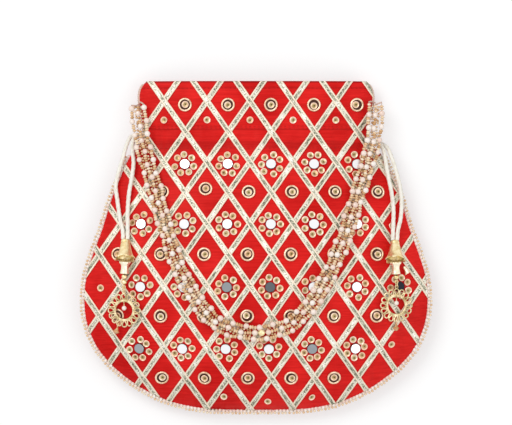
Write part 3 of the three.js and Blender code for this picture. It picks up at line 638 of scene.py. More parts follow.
@dataclass(frozen=True)
class LaceFinish:
    """Woven ribbon: crinkled silver between pale gold selvedges, U along it in millimetres, V across."""

    name: str = "silver_gota"
    selvedge: tuple = (0.94, 0.81, 0.64)
    silver: tuple = (0.57, 0.54, 0.38)
    glint: tuple = (1.0, 0.98, 0.92)
    fleck: tuple = (0.08, 0.09, 0.05)

    def build(self) -> bpy.types.Material:
        """Make the material: flecks and glints between the selvedges, threads across in the relief."""
        r = Recipe(self.name).set(Metallic=0.35, Roughness=0.36, Specular_IOR_Level=0.6)
        uv = r.place("UV")
        across = r.node("SeparateXYZ", {0: uv}).outputs[1]
        edge = r.sums("ABSOLUTE", r.sums("SUBTRACT", across, 0.5))
        facets = r.noise(r.place("UV", (1.15, 3.4, 1)), 1.0, 3, 0.62)
        broad = r.noise(r.place("UV", (0.12, 0.6, 1)), 1.0, 1, 0.5)
        tone = r.sums("ADD", r.sums("MULTIPLY", facets, 0.65), r.sums("MULTIPLY", broad, 0.35))
        # Painted highlights: the crinkle's colour runs from dark flecks through silver to near-white glints.
        crinkle = r.ramp(tone, (0.39, self.fleck), (0.46, (0.3, 0.3, 0.21)), (0.51, self.silver),
                         (0.585, self.glint))
        selvedge = r.ramp(edge, (0.2, 0.0), (0.3, 1.0))
        r.link(r.mix(selvedge, crinkle, self.selvedge), "Base Color")
        threads = r.node("TexWave",
                         {"Vector": r.place("UV", (1, 0.4, 1)), "Scale": 0.9, "Distortion": 1.2}).outputs[1]
        r.bump(threads, 0.4, 0.00012)
        r.bump(facets, 0.7, 0.00035)
        return r.material


@dataclass(frozen=True)
class MetalFinish:
    """Plated metal, a little uneven in colour and polish."""

    name: str
    dark: tuple
    light: tuple
    rough: float = 0.28
    grain: float = 900.0

    def build(self) -> bpy.types.Material:
        """Make the material."""
        r = Recipe(self.name).set(Metallic=0.9, Specular_IOR_Level=0.6)
        stain = r.noise(r.place(), self.grain * 0.35, 3, 0.6)
        r.link(r.ramp(stain, (0.34, self.dark), (0.62, self.light)), "Base Color")
        r.link(r.ramp(stain, (0.3, self.rough * 1.5), (0.7, self.rough)), "Roughness")
        r.bump(r.noise(r.place(), self.grain, 2, 0.5), 0.05, 0.0002)
        return r.material


@dataclass(frozen=True)
class SequinFinish:
    """A pressed gold sequin: dark at its hole, olive in its cup and pale gold at its rim."""

    name: str = "gold_sequin"

    def build(self) -> bpy.types.Material:
        """Make the material from "reach", the share of the sequin's radius, and "tint", its own tone."""
        r = Recipe(self.name).set(Metallic=0.45, Roughness=0.3, Specular_IOR_Level=0.6)
        speckle = r.noise(r.place(), 1400.0, 1, 0.5)
        reach = r.sums("ADD", r.attribute("reach"),
                       r.sums("MULTIPLY", r.sums("SUBTRACT", speckle, 0.5), 0.36))
        rings = r.ramp(reach, (0.12, (0.08, 0.05, 0.015)), (0.28, (0.34, 0.27, 0.1)),
                       (0.6, (0.58, 0.45, 0.23)),
                       (0.76, (0.95, 0.74, 0.58)))
        warm = r.ramp(r.attribute("tint"), (0.0, (1.0, 0.8, 0.7)), (0.5, (1.0, 0.95, 0.9)),
                      (1.0, (1.0, 1.0, 1.0)))
        r.link(r.mix(1.0, rings, warm, "MULTIPLY"), "Base Color")
        return r.material


@dataclass(frozen=True)
class MirrorFinish:
    """Small glass mirrors, some of them with a painted dark reflection from grey to black, set by a number
    for each.
    """

    name: str = "mirror_glass"

    def build(self) -> bpy.types.Material:
        """Make the material."""
        r = Recipe(self.name).set(Metallic=0.55, Specular_IOR_Level=0.5)
        # Painted reflection: a mirror that would reflect something dark gets a grey to black colour and less
        # specular.
        dull = r.attribute("dull")
        haze = r.noise(r.place(), 500.0, 2, 0.5)
        tone = r.ramp(dull, (0.0, (0.96, 0.965, 0.98)), (0.5, (0.3, 0.32, 0.34)),
                      (1.0, (0.025, 0.027, 0.035)))
        clear = r.sums("SUBTRACT", 1.0, dull)
        r.link(r.mix(r.sums("MULTIPLY", r.sums("MULTIPLY", haze, 0.12), clear), tone, (0.8, 0.84, 0.9)),
               "Base Color")
        r.link(r.sums("MULTIPLY", clear, 0.5), "Specular IOR Level")
        r.link(r.ramp(haze, (0.3, 0.04), (0.7, 0.14)), "Roughness")
        return r.material


@dataclass(frozen=True)
class CordFinish:
    """Twisted ivory cord: fine threads along it in the colour and relief."""

    name: str = "ivory_cord"
    dark: tuple = (0.76, 0.69, 0.54)
    light: tuple = (0.98, 0.95, 0.86)

    def build(self) -> bpy.types.Material:
        """Make the material."""
        r = Recipe(self.name).set(Roughness=0.62, Sheen_Weight=0.3, Specular_IOR_Level=0.3)
        fibre = r.noise(r.place(scale=(900, 160, 900)), 1.0, 3, 0.6)
        r.link(r.ramp(fibre, (0.25, self.dark), (0.5, self.light)), "Base Color")
        r.bump(fibre, 0.5, 0.00025)
        return r.material


@dataclass(frozen=True)
class PearlFinish:
    """Pearl beads: a warm pink-white body under a clear coat, each bead of its own tone."""

    name: str = "pearl"
    stops: tuple = ((0.0, (0.88, 0.63, 0.52)), (0.5, (0.97, 0.81, 0.71)), (1.0, (1.0, 0.93, 0.86)))
    rough: float = 0.3
    metallic: float = 0.0

    def build(self) -> bpy.types.Material:
        """Make the material from "tint", a number for each bead."""
        r = Recipe(self.name).set(Roughness=self.rough, Metallic=self.metallic, Coat_Weight=0.6,
                                  Coat_Roughness=0.12, Specular_IOR_Level=0.5)
        cloud = r.noise(r.place(), 450.0, 2, 0.5)
        tone = r.sums("ADD", r.attribute("tint"), r.sums("MULTIPLY", r.sums("SUBTRACT", cloud, 0.5), 0.35))
        r.link(r.ramp(tone, *self.stops), "Base Color")
        return r.material


@dataclass(frozen=True)
class AmberFinish:
    """A clear amber bead with darker clouds."""

    name: str = "amber_glass"

    def build(self) -> bpy.types.Material:
        """Make the material."""
        r = Recipe(self.name).set(Roughness=0.1, Transmission_Weight=0.35, IOR=1.5, Coat_Weight=0.5)
        cloud = r.noise(r.place(), 420.0, 2, 0.5)
        r.link(r.ramp(cloud, (0.3, (0.62, 0.28, 0.07)), (0.6, (0.92, 0.56, 0.24)),
                      (0.75, (1.0, 0.76, 0.45))),
               "Base Color")
        return r.material


@dataclass(frozen=True)
class PlainFinish:
    """Thread, and the near-black discs under mirrors and button rings, of one tone with a fine fibre relief.
    """

    name: str
    dark: tuple
    light: tuple
    rough: float = 0.7

    def build(self) -> bpy.types.Material:
        """Make the material."""
        r = Recipe(self.name).set(Roughness=self.rough, Specular_IOR_Level=0.3)
        fibre = r.noise(r.place(), 1200.0, 2, 0.6)
        r.link(r.ramp(fibre, (0.3, self.dark), (0.7, self.light)), "Base Color")
        r.bump(fibre, 0.4, 0.00015)
        return r.material


@dataclass(frozen=True)
class FloorFinish:
    """The pale studio floor, which the camera and mirrors see as near white and which keeps its shadow."""

    name: str = "studio_floor"
    lift: float = 0.5

    def build(self) -> bpy.types.Material:
        """Make the material: matt white, with light of its own for camera, mirror and glass rays."""
        r = Recipe(self.name).set(Roughness=0.9, Specular_IOR_Level=0.1, Emission_Color=(1, 1, 1, 1))
        r.link(r.ramp(r.noise(r.place(), 9.0, 2, 0.5), (0.0, 0.54), (1.0, 0.56)), "Base Color")
        path = r.node("LightPath")
        seen = r.sums("MAXIMUM",
                      r.sums("MAXIMUM", path.outputs["Is Camera Ray"], path.outputs["Is Glossy Ray"]),
                      path.outputs["Is Transmission Ray"])
        r.link(r.sums("MULTIPLY", seen, self.lift), "Emission Strength")
        return r.material


class Finishes:
    """Every material of the bag, made once."""

    def __init__(self) -> None:
        """Build them all."""
        self.silk = SilkFinish().build()
        self.satin = SatinFinish().build()
        self.lace = LaceFinish().build()
        self.gold = MetalFinish("bright_gold", (0.76, 0.58, 0.27), (0.96, 0.83, 0.52)).build()
        self.cream = MetalFinish("cream_gold", (0.85, 0.74, 0.5), (1.0, 0.95, 0.78), 0.24).build()
        self.antique = MetalFinish("antique_gold", (0.45, 0.34, 0.15), (0.9, 0.77, 0.5), 0.34).build()
        self.blush = MetalFinish("blush_gold", (0.62, 0.4, 0.24), (0.95, 0.74, 0.55), 0.32).build()
        self.sequin = SequinFinish().build()
        self.mirror = MirrorFinish().build()
        self.cord = CordFinish().build()
        self.pearl = PearlFinish().build()
        self.seed = PearlFinish(
            "peach_seed_beads",
            ((0.0, (0.58, 0.29, 0.09)), (0.5, (0.86, 0.57, 0.31)), (1.0, (0.98, 0.83, 0.6))), 0.2
        ).build()
        self.amber = AmberFinish().build()
        # Near-black discs under the mirrors and button rings: partly their dark thread setting, partly
        # painted shade round and inside them.
        self.setting_shade = PlainFinish("dark_setting_shade", (0.035, 0.012, 0.008), (0.1, 0.035, 0.02)).build()
        self.thread = PlainFinish("beading_thread", (0.6, 0.38, 0.3), (0.9, 0.72, 0.62)).build()
        self.stitch = PlainFinish("red_thread", (0.42, 0.003, 0.004), (0.68, 0.01, 0.01)).build()


# The bag's own form


def along_y(points: tuple, y: np.ndarray) -> np.ndarray:
    """A smooth value along Y: the uniform Catmull-Rom curve through [value, y] points, read at y.

    Args:
        points: the points, in order.
        y: where to read the value.

    Returns:
        The value at each y.
    """
    dense = spline(np.array(points, float), 40)
    order = np.argsort(dense[:, 1], kind="stable")
    return np.interp(y, dense[order, 1], dense[order, 0])


def spline(points: np.ndarray, steps: int) -> np.ndarray:
    """The uniform Catmull-Rom curve through points: cubics with half the neighbours' span as slope."""
    whole = np.vstack([points[:1], points, points[-1:]])
    p0, p1, p2, p3 = whole[:-3], whole[1:-2], whole[2:-1], whole[3:]
    v0, v1 = (p2 - p0) / 2, (p3 - p1) / 2
    t = np.linspace(0, 1, steps, endpoint=False)[None, :, None]
    p0, p1, p2, p3, v0, v1 = (v[:, None] for v in (p0, p1, p2, p3, v0, v1))
    cubic = (2 * p1 - 2 * p2 + v0 + v1) * t**3 + (3 * p2 - 3 * p1 - 2 * v0 - v1) * t**2 + v0 * t + p1
    return np.vstack([cubic.reshape(-1, points.shape[1]), points[-1:]])


def smoothstep(value: np.ndarray, low: float, high: float) -> np.ndarray:
    """Rise smoothly from 0 at low to 1 at high: 3 t t - 2 t t t."""
    t = np.clip((value - low) / (high - low), 0, 1)
    return t * t * (3 - 2 * t)


def bell_curve(value: np.ndarray, middle: float, width: float) -> np.ndarray:
    """1 at the middle, fading as exp(-((value - middle) / width)^2)."""
    return np.exp(-(((value - middle) / width) ** 2))


@dataclass(frozen=True)
class BagForm:
    """The bag's outline, its heights over the surface that it lies on, and the fine relief of its cloth."""

    mouth_y: float = 118.6
    bottom_y: float = -116.2
    seam_gap: float = 0.3
    wall: float = 1.2
    seam_allowance: float = 2.2
    side_seam: tuple = (
        (78.4, 118.6), (82.6, 113.8), (83.9, 106.5), (82.4, 94), (80.6, 83), (82.6, 74.5), (89.6, 66),
        (97, 50),
        (103.6, 33), (109.4, 14), (116, -4), (120.8, -20), (122.5, -36), (120.9, -53), (114.2, -70),
        (104.4, -82.6), (92, -93.5), (77, -103.2), (59, -110.8), (37, -115.2), (14, -116.2),
    )
    seam_height: tuple = ((10, -117), (13.2, -70), (14, -20), (12.5, 30), (10, 62), (9, 85), (9, 118.6))
    crown: tuple = (
        (0, -116.2), (4.4, -112.5), (9, -105), (14.2, -92), (19, -71), (22, -40), (21.6, -8), (18, 28),
        (12.6, 56), (10.2, 68), (9.8, 77), (9.6, 86), (9, 98), (9, 118.6),
    )
    back_sag: float = 1.5
    full_y: tuple = (40, 75)
    hem_edge_y: float = 84.0
    channel_y: float = 77.3
    mouth_stitch_y: float = 113.6
    gather: float = 0.32
    unevenness: float = 0.35
    cloth: float = 1.0

    def half_width(self, y: np.ndarray) -> np.ndarray:
        """Half the bag's width at y."""
        return along_y(self.side_seam, y)

    def seam(self, y: np.ndarray) -> np.ndarray:
        """Height of the side seam at y."""
        return along_y(self.seam_height, y)

    def rise(self, y: np.ndarray) -> np.ndarray:
        """Height of the front's crown over the seam at y."""
        return along_y(self.crown, y)

    def bulge(self, u: np.ndarray, y: np.ndarray) -> np.ndarray:
        """Share of the crown at u: (1 - |u|^(2+2f))^(0.8-0.3f), where f goes from 0 to 1 up the neck."""
        f = smoothstep(y, *self.full_y)
        inside = np.maximum(0, 1 - np.abs(u) ** (2 + 2 * f))
        return inside ** (0.8 - 0.3 * f)

    def relief(self, u: np.ndarray, x: np.ndarray, y: np.ndarray) -> np.ndarray:
        """Fine relief of the cloth: soft waves, gathers at the channel, creases low down and the hem.

        Each is a product of sines, faded by bell curves round its place; all fade out at the seam.
        """
        inner = 1 - np.abs(u) ** 8
        waves = np.sin(0.083 * x + 0.047 * y + 1.3) * np.sin(0.071 * y - 0.031 * x + 0.4)
        waves = waves + 0.5 * np.sin(0.19 * x - 0.13 * y) * np.sin(0.11 * y + 0.09 * x + 2)
        at_channel = bell_curve(y, self.channel_y, 9)
        gathers = at_channel * (np.sin(0.62 * x + 0.6 * np.sin(0.13 * x)) + 0.5 * np.sin(1.31 * x + 1))
        low = np.abs(u) ** 3 * smoothstep(-y, 20, 90) + 0.6 * smoothstep(-y, 80, 108)
        creases = low * (np.sin(0.55 * x + 0.05 * y) + 0.6 * np.sin(0.93 * x - 0.08 * y + 1))
        neck = smoothstep(y, 20, 60) * (1 - smoothstep(y, 72, 84))
        tucks = bell_curve(np.abs(u), 0.9, 0.08) * neck * np.sin(0.34 * y + 0.5 * np.abs(x))
        pocket = 0.7 * bell_curve(y, 72.6, 3.4) + 0.35 * bell_curve(y, 85.8, 1.4)
        hem = 0.4 * smoothstep(y, self.hem_edge_y - 0.35, self.hem_edge_y + 0.15)
        ridge = 0.3 * bell_curve(y, self.mouth_stitch_y, 1.2)
        fine = self.unevenness * waves + self.gather * gathers + 0.48 * creases + 0.5 * tucks
        return self.cloth * inner * (fine - pocket - ridge + hem)

    def shade(self, y: np.ndarray) -> np.ndarray:
        """Painted shade in the silk's colour: how much darker it is in the tuck under the channel, in the
        hem's folds, at the mouth's edge and along the mouth's stitch row.
        """
        tuck = 0.3 * smoothstep(y, 64, 73.5) * (1 - smoothstep(y, 74.5, 77.5))
        edge = 0.4 * bell_curve(y, self.hem_edge_y, 0.5) + 0.7 * smoothstep(y, 117.0, 117.9)
        return tuck + edge + 0.22 * bell_curve(y, self.mouth_stitch_y, 0.9)

    def front(self, x: np.ndarray, y: np.ndarray) -> np.ndarray:
        """Height of the front panel's outer face."""
        u = np.clip(x / self.half_width(y), -1, 1)
        return self.seam(y) + self.seam_gap / 2 + self.rise(y) * self.bulge(u, y) + self.relief(u, x, y)

    def normal(self, x: np.ndarray, y: np.ndarray, step: float = 1.2) -> np.ndarray:
        """Direction straight out of the front panel, from the slopes over a short step each way."""
        slope_x = (self.front(x + step, y) - self.front(x - step, y)) / (2 * step)
        slope_y = (self.front(x, y + step) - self.front(x, y - step)) / (2 * step)
        return unit(np.stack([-slope_x, -slope_y, np.ones_like(slope_x)], axis=-1))

    def over_front(self, route: np.ndarray) -> np.ndarray:
        """Points given as (x, y, lift over the front panel) as points in space."""
        return np.stack([route[..., 0], route[..., 1],
                         self.front(route[..., 0], route[..., 1]) + route[..., 2]], axis=-1)

    def seats(self, x: np.ndarray, y: np.ndarray, lift: float = 0.0, turn: np.ndarray | float = 0.0,
              tip: np.ndarray | None = None) -> tuple[np.ndarray, np.ndarray]:
        """Frames of flat pieces sewn on the front: Z out of the cloth, Y up the bag, then turned about Z.

        Args:
            x: places across the bag.
            y: places up the bag.
            lift: height over the cloth.
            turn: turn about Z in radians.
            tip: small change of each Z, by which the piece leans.

        Returns:
            The frames' matrices and origins.
        """
        out = self.normal(x, y)
        origin = np.stack([x, y, self.front(x, y)], axis=-1) + out * lift
        if tip is not None:
            out = unit(out + tip)
        right = unit(np.cross([0.0, 1.0, 0.0], out))
        up = np.cross(out, right)
        turn = np.broadcast_to(np.asarray(turn, float), x.shape)[..., None]
        first = right * np.cos(turn) + up * np.sin(turn)
        second = up * np.cos(turn) - right * np.sin(turn)
        return np.stack([first, second, out], axis=-1), origin

    def back_depth(self, y: np.ndarray) -> np.ndarray:
        """How far the back would hang under the seam with no floor."""
        return self.back_sag * self.seam(y) * np.minimum(1, self.rise(y) / 9)

    def outline(self, steps: int) -> tuple[np.ndarray, np.ndarray]:
        """Half width and y along the side seam, from the mouth down, with the hem's fold cut finely."""
        curve = spline(np.array(self.side_seam, float), steps)
        extra = np.concatenate([self.hem_edge_y + np.array([-0.7, -0.4, -0.2, 0, 0.2, 0.5]),
                                [69.6, 70.4, 71.6, 72.8, 74, 76, 112.8, 113.6, 114.4, 116.9, 117.5, 117.9]])
        width = np.concatenate([curve[:, 0], self.half_width(extra)])
        y = np.concatenate([curve[:, 1], extra])
        order = np.argsort(-y, kind="stable")
        return width[order], y[order]


class Panels:
    """The front and back panels of silk, the lining, the hem's stitches and the drawstrings inside."""

    def __init__(self, form: BagForm, finishes: Finishes, columns: int = 132, steps: int = 9) -> None:
        """Keep the form and the number of columns across a panel and steps a seam point."""
        self.form = form
        self.finishes = finishes
        self.columns = columns
        self.steps = steps

    def grid(self, inset: float) -> tuple[np.ndarray, np.ndarray, np.ndarray]:
        """A panel's plan: u from -1 to 1, finer at the seams; x = u (half width - inset); y downwards."""
        width, y = self.form.outline(self.steps)
        u = np.sin(np.pi / 2 * np.linspace(-1, 1, self.columns + 1))
        shrink = 1 - inset / (self.form.mouth_y - self.form.bottom_y)
        inner_y = self.form.mouth_y - (self.form.mouth_y - y) * shrink
        u, y_grid = np.meshgrid(u, inner_y)
        return u, u * (width - inset)[:, None], y_grid

    def front_surface(self) -> Surface:
        """The front: its outer face as the form gives it, its inner face one wall under it."""
        form = self.form
        u, x, y = self.grid(0)
        outer = np.stack([x, y, form.seam(y) + form.seam_gap / 2 + form.rise(y) * form.bulge(u, y)
                          + form.relief(u, x, y)], axis=2)
        v, x_in, y_in = self.grid(form.seam_allowance)
        wall = form.wall * np.minimum(1, form.rise(y_in) / 4)
        inner = np.stack([x_in, y_in, form.seam(y_in) + form.seam_gap / 2 + (form.rise(y_in) - wall)
                          * form.bulge(v, y_in) + 0.8 * np.minimum(0, form.relief(v, x_in, y_in))], axis=2)
        return shell(outer, inner, {"shade": form.shade(y)})

    def back_surface(self) -> Surface:
        """The back: it sags from the seam to the floor and lies flat there, with soft waves above it."""
        form = self.form

        def height(u: np.ndarray, x: np.ndarray, y: np.ndarray, least: np.ndarray | float) -> np.ndarray:
            """Seam height less the sag's share, never under least."""
            waves = 0.25 * np.sin(0.12 * x + 0.3 * np.abs(y) ** 0.7) * np.sin(0.09 * y + 1)
            waves = waves * (1 - np.abs(u) ** 8)
            free = form.seam(y) - form.seam_gap / 2 - (form.back_depth(y) - least) * form.bulge(u, y) + waves
            return np.maximum(least, free)

        u, x, y = self.grid(0)
        outer = np.stack([x, y, height(u, x, y, 0.0)], axis=2)
        v, x_in, y_in = self.grid(form.seam_allowance)
        wall = form.wall * np.minimum(1, form.rise(y_in) / 4)
        inner = np.stack([x_in, y_in, height(v, x_in, y_in, wall)], axis=2)
        return shell(outer, inner)

    def lining_surface(self, wall: float = 0.7, gap: float = 1.2, side_gap: float = 4.0,
                       narrowing: float = 17.4, channel_room: float = 4.8, spread: float = 20.0,
                       top_y: float = 111.0,
                       end_y: float = -92.0) -> Surface:
        """The lining pouch: rings round the bag's inside, drawn in at the channel, with a closed lower end.

        Ring at y: half width less the gaps and the narrowing, heights between floor and front panel;
        share(y) = exp(-((y - channel) / spread)^4) says how much of the channel's narrowing applies.
        """
        form = self.form
        sides = 72
        angle = circle(sides)[None, :]

        def rings(y: np.ndarray, inset: float) -> np.ndarray:
            """The pouch's rings at y, set in by inset."""
            y = y[:, None]
            share = np.exp(-(((y - form.channel_y) / spread) ** 4))
            stand = np.maximum(gap, channel_room * share)
            width = form.half_width(y) - form.seam_allowance - side_gap - narrowing * share - inset
            u = np.cos(angle)
            front = np.maximum(0.9 - inset / 2, form.rise(y) - form.wall - stand - inset)
            depth = np.maximum(0.9 - inset / 2, form.back_depth(y) - form.wall - stand - inset)
            folds = 0.25 * np.sin(9 * angle + 0.05 * y) * np.abs(np.sin(angle))
            over = form.seam(y) + (front - 0.3) * form.bulge(u, y) - 0.3 + folds
            under = np.maximum(form.wall + stand + inset, form.seam(y) - depth * form.bulge(u, y))
            under = under + 0.1 * folds
            z = np.where(np.sin(angle) >= 0, over, np.minimum(under, form.seam(y)))
            return np.stack([u * width, y + 0 * u, z + 0 * u], axis=2)

        y = np.linspace(top_y, end_y, 90)
        outer, inner = rings(y, 0.0), rings(np.concatenate([y[:-1], [end_y + wall]]), wall)
        return tube(np.concatenate([inner[::-1], outer]))

    def stitch_rows(self) -> Surface:
        """Rows of machine stitches along the hem and the channel, each stitch a short thick thread."""
        form = self.form
        rows = []
        share, pitch = 0.97, 3.1
        for y in (form.mouth_stitch_y, 86.4, 84.9, 70.9):
            half = float(form.half_width(np.array(y))) * share
            x = np.arange(-half, half, pitch)
            rows.append(np.stack([x, np.full_like(x, y) + 0.12 * np.sin(1.7 * x)], axis=1))
        place = np.vstack(rows)
        bases, origins = form.seats(place[:, 0], place[:, 1], 0.12)
        stitch = ball(0.3, 6, 3)
        stitch.points = stitch.points[:, [1, 0, 2]] * np.array([3.0, 0.8, 0.6])
        return copies(stitch.outward(), bases, origins)

    def build(self, nodes: dict[str, bpy.types.Object]) -> None:
        """Make the cloth pieces and dress the drawstrings that run inside the channel.

        Args:
            nodes: the CAD nodes by name.
        """
        finishes = self.finishes
        front = to_object("front_silk", self.front_surface(), finishes.silk)
        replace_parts(front, "front_panel")
        back = to_object("back_silk", self.back_surface(), finishes.silk)
        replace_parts(back, "back_panel")
        lining = to_object("satin_lining", self.lining_surface(), finishes.satin)
        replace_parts(lining, "lining")
        stitches = to_object("hem_stitches", self.stitch_rows(), finishes.stitch)
        for side in Side:
            run = nodes[f"drawstring_run_{side.word}"]
            run.data.materials.clear()
            run.data.materials.append(finishes.cord)


@dataclass(frozen=True)
class Lattice:
    """The lace ribbons: two sets of parallel lines across the front, one sewn over the other."""

    width: float = 4.05
    pitch_x: float = 30.6
    pitch_y: float = 43.7
    origin: tuple = (-4.3, 104.4)
    inset: float = 0.25
    lift: float = 0.28
    thickness: float = 0.28
    step: float = 0.62
    across: int = 7
    crinkle: float = 0.09
    hump_width: float = 3.4

    def ribbon(self, form: BagForm, slope: int, number: int, rng: np.random.Generator) -> list[Surface]:
        """One ribbon, trimmed along the seam and the mouth: its points are held inside them.

        Its middle line is x = x0 + pitch_x number + slope half pitch_x t, y = y0 - half pitch_y t; it humps
        over the ribbons of the other set where slope is 1, by a bell curve round each crossing.

        Args:
            form: the bag.
            slope: 1 or -1, the way that the ribbon leans.
            number: which of its set, counted from the one through the origin.
            rng: source of the crinkle.

        Returns:
            Its stretches, usually one.
        """
        length = np.hypot(self.pitch_x, self.pitch_y)
        t = np.arange(-4, 14, self.step / length * 2)
        x = self.origin[0] + self.pitch_x * number + slope * self.pitch_x / 2 * t
        y = self.origin[1] - self.pitch_y / 2 * t
        inside = (y < form.mouth_y + self.width / 2) & (y > form.bottom_y - self.width / 2) & (
            np.abs(x) < form.half_width(y) + self.width / 2)
        edges = np.flatnonzero(np.diff(np.concatenate([[0], inside.astype(int), [0]])))
        aside = np.array([self.pitch_y, slope * self.pitch_x]) / length
        stretches = []
        for start, stop in edges.reshape(-1, 2):
            if stop - start < 6:
                continue
            part = slice(start, stop)
            count = stop - start
            v = np.linspace(-1, 1, self.across)[None, :]
            py = np.clip(y[part, None] + aside[1] * v * self.width / 2, form.bottom_y + self.inset,
                         form.mouth_y - 0.1)
            reach = form.half_width(py) - self.inset
            px = np.clip(x[part, None] + aside[0] * v * self.width / 2, -reach, reach)
            phase = t[part, None] - np.round(t[part, None])
            hump = 0.3 * bell_curve(phase * length / 2, 0.0, self.hump_width) if slope > 0 else 0 * phase
            ruffle = self.crinkle * rng.standard_normal((count, self.across)) * (np.abs(v) < 0.9)
            selvedge = 0.16 * (np.abs(v) > 0.6)
            lift = self.lift + hump + selvedge + ruffle
            out = form.normal(px, py)
            base = np.stack([px, py, form.front(px, py)], axis=2)
            outer = base + out * (lift + self.thickness)[:, :, None]
            inner = base + out * (self.lift + hump)[:, :, None]
            along = np.arange(count)[:, None] * self.step + 37.0 * number
            uv = np.stack([along + 0 * v, (v + 1) / 2 + 0 * along], axis=2)
            stretches.append(shell(outer, inner, {"uv": uv}))
        return stretches

    def build(self, form: BagForm, finishes: Finishes) -> None:
        """Make both sets; the upper one stands for the CAD lattice.

        Args:
            form: the bag.
            finishes: the materials.
        """
        rng = np.random.default_rng(11)
        sets = {}
        for slope in (-1, 1):
            ribbons = [part for number in range(-9, 10) for part in self.ribbon(form, slope, number, rng)]
            sets[slope] = to_object(f"lace_set_{'over' if slope > 0 else 'under'}", join(ribbons),
                                    finishes.lace)
        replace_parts(sets[1], "gota_lattice")


@dataclass(frozen=True)
class Ornaments:
    """What is sewn in the diamonds: mirror flowers, ring buttons and single sequins."""

    lattice: Lattice
    rows: int = 10
    edge_margin: float = 3.0
    flower_reach: float = 9.2
    petal_ring: float = 6.75
    petals: int = 7
    sequin: float = 2.5
    button: float = 5.0
    button_ring: tuple = (4.2, 0.8)
    # Near-black discs under buttons and mirrors: partly dark setting, partly painted shade.
    button_setting_shade: tuple = (3.9, 0.6)
    mirror: float = 3.5
    mirror_setting_shade: tuple = (3.75, 0.95)
    mirror_lift: float = 1.0
    top_shift: float = 8.2
    sewn: tuple = ((-0.4, -2.7), (0, 0), (-0.4, -1.5), (-0.9, 0.6), (-0.6, -0.4), (-1.8, 0.2), (-1, -1.1),
                   (-2, 0.3),
                   (-1.9, -1), (-1.5, 0))
    strayed: tuple = (-34.9, 38.8, 2.2)
    loose: tuple = ((96.9, 15.3), (-110.4, -28.8), (96.2, -68.7), (-22.8, -105.8), (8.5, -109.3),
                    (39.6, -106.4))
    # Places and strengths of the painted dark reflections, given to the mirrors nearest to them.
    dark_reflections: tuple = ((-19.9, -26.3, 0.5), (-81.2, -71.6, 0.45), (39.9, -72.3, 0.5), (10, -26.7, 0.8),
                     (102.6, -25.3, 1.0))

    def places(self, form: BagForm) -> tuple[np.ndarray, np.ndarray, np.ndarray]:
        """Middles of the flowers, buttons and single sequins, in the diamonds that lie inside the bag.

        Each row is moved by what its pieces were sewn off the middle, and one button by more.
        """
        row, column = np.meshgrid(np.arange(self.rows), np.arange(11), indexing="ij")
        row, column = row.ravel(), column.ravel()
        half = np.where(row % 2, 0, self.lattice.pitch_x / 2)
        x = self.lattice.origin[0] + half + (column - 5) * self.lattice.pitch_x
        y = self.lattice.origin[1] - row * self.lattice.pitch_y / 2
        spare = form.half_width(y) - np.abs(x) - self.edge_margin
        flowers = (row % 2 == 0) & (row > 0) & (spare > self.flower_reach)
        sequins = (row == 1) & (spare > self.button)
        buttons = ((row == 0) | ((row % 2 == 1) & (row > 1))) & (spare > self.button)
        middles = np.stack([x, y], axis=1) + np.array(self.sewn)[row]
        middles[:, 1] += self.strayed[2] * (np.hypot(x - self.strayed[0], y - self.strayed[1]) < 2)
        single = np.vstack([np.array(self.loose), middles[sequins] + [0, self.top_shift]])
        return middles[flowers], middles[buttons], single

    def sequin_shape(self, radius: float, sides: int = 14) -> Surface:
        """A pressed cup whose profile climbs from its hole to a rounded rim and back under.

        The hole lies off the middle: x += 0.2 radius (1 - reach)^2.
        """
        profile = radius * np.array([[0.12, 0.1], [0.45, 0.12], [0.72, 0.2], [0.9, 0.32], [1.0, 0.26],
                                     [0.98, 0.12],
                                     [0.75, 0.02], [0.12, 0.0]])
        cup = turned(profile, sides, closed=True)
        cup.points[:, 0] += 0.2 * radius * (1 - cup.values["reach"]) ** 2
        cup.points = cup.points[:, [0, 2, 1]]
        return cup.outward()

    def disc(self, radius: float, height: float, sides: int = 28, round_edge: float = 0.25) -> Surface:
        """A flat disc with a rounded rim, its foot at z = 0."""
        profile = np.array([[0.0, height], [radius * 0.5, height], [radius - round_edge, height],
                            [radius, height - round_edge], [radius, 0.1], [radius - 0.1, 0.0], [0.0, 0.0]])
        disc = turned(profile, sides)
        disc.points = disc.points[:, [0, 2, 1]]
        return disc.outward()

    def build(self, form: BagForm, finishes: Finishes) -> None:
        """Make the sequins, mirrors, button rings and the near-black discs under them, partly a dark setting
        and partly painted shade.

        Args:
            form: the bag.
            finishes: the materials.
        """
        rng = np.random.default_rng(5)
        flowers, buttons, single = self.places(form)
        count = len(flowers)
        angle = (np.arange(self.petals) * 2 * np.pi / self.petals)[None, :] + rng.uniform(0, 0.9, (count, 1))
        angle = angle + rng.normal(0, 0.05, (count, self.petals))
        ring = self.petal_ring + rng.normal(0, 0.3, (count, self.petals))
        petal_x = (flowers[:, :1] + ring * np.cos(angle)).ravel()
        petal_y = (flowers[:, 1:] + ring * np.sin(angle)).ravel()
        shift = rng.normal(0, 0.35, buttons.shape)
        x = np.concatenate([petal_x, single[:, 0]])
        y = np.concatenate([petal_y, single[:, 1]])
        tip = np.concatenate([rng.normal(0, 0.12, (len(x), 2)), np.zeros((len(x), 1))], axis=1)
        low = form.seats(x, y, 0.25, rng.uniform(0, 6, len(x)), tip)
        top = form.seats(buttons[:, 0] + shift[:, 0], buttons[:, 1] + shift[:, 1], 0.75)
        bases, origins = np.concatenate([low[0], top[0]]), np.concatenate([low[1], top[1]])
        sequins = copies(self.sequin_shape(self.sequin), bases, origins,
                         {"tint": rng.uniform(0, 1, len(origins))})
        to_object("sequins", sequins, finishes.sequin, crease=50)

        bases, origins = form.seats(buttons[:, 0], buttons[:, 1], 0.7)
        rim = wire_ring(*self.button_ring, 66, 6, milled=22, depth=0.1)
        to_object("button_rings", copies(rim, bases, origins), finishes.blush)
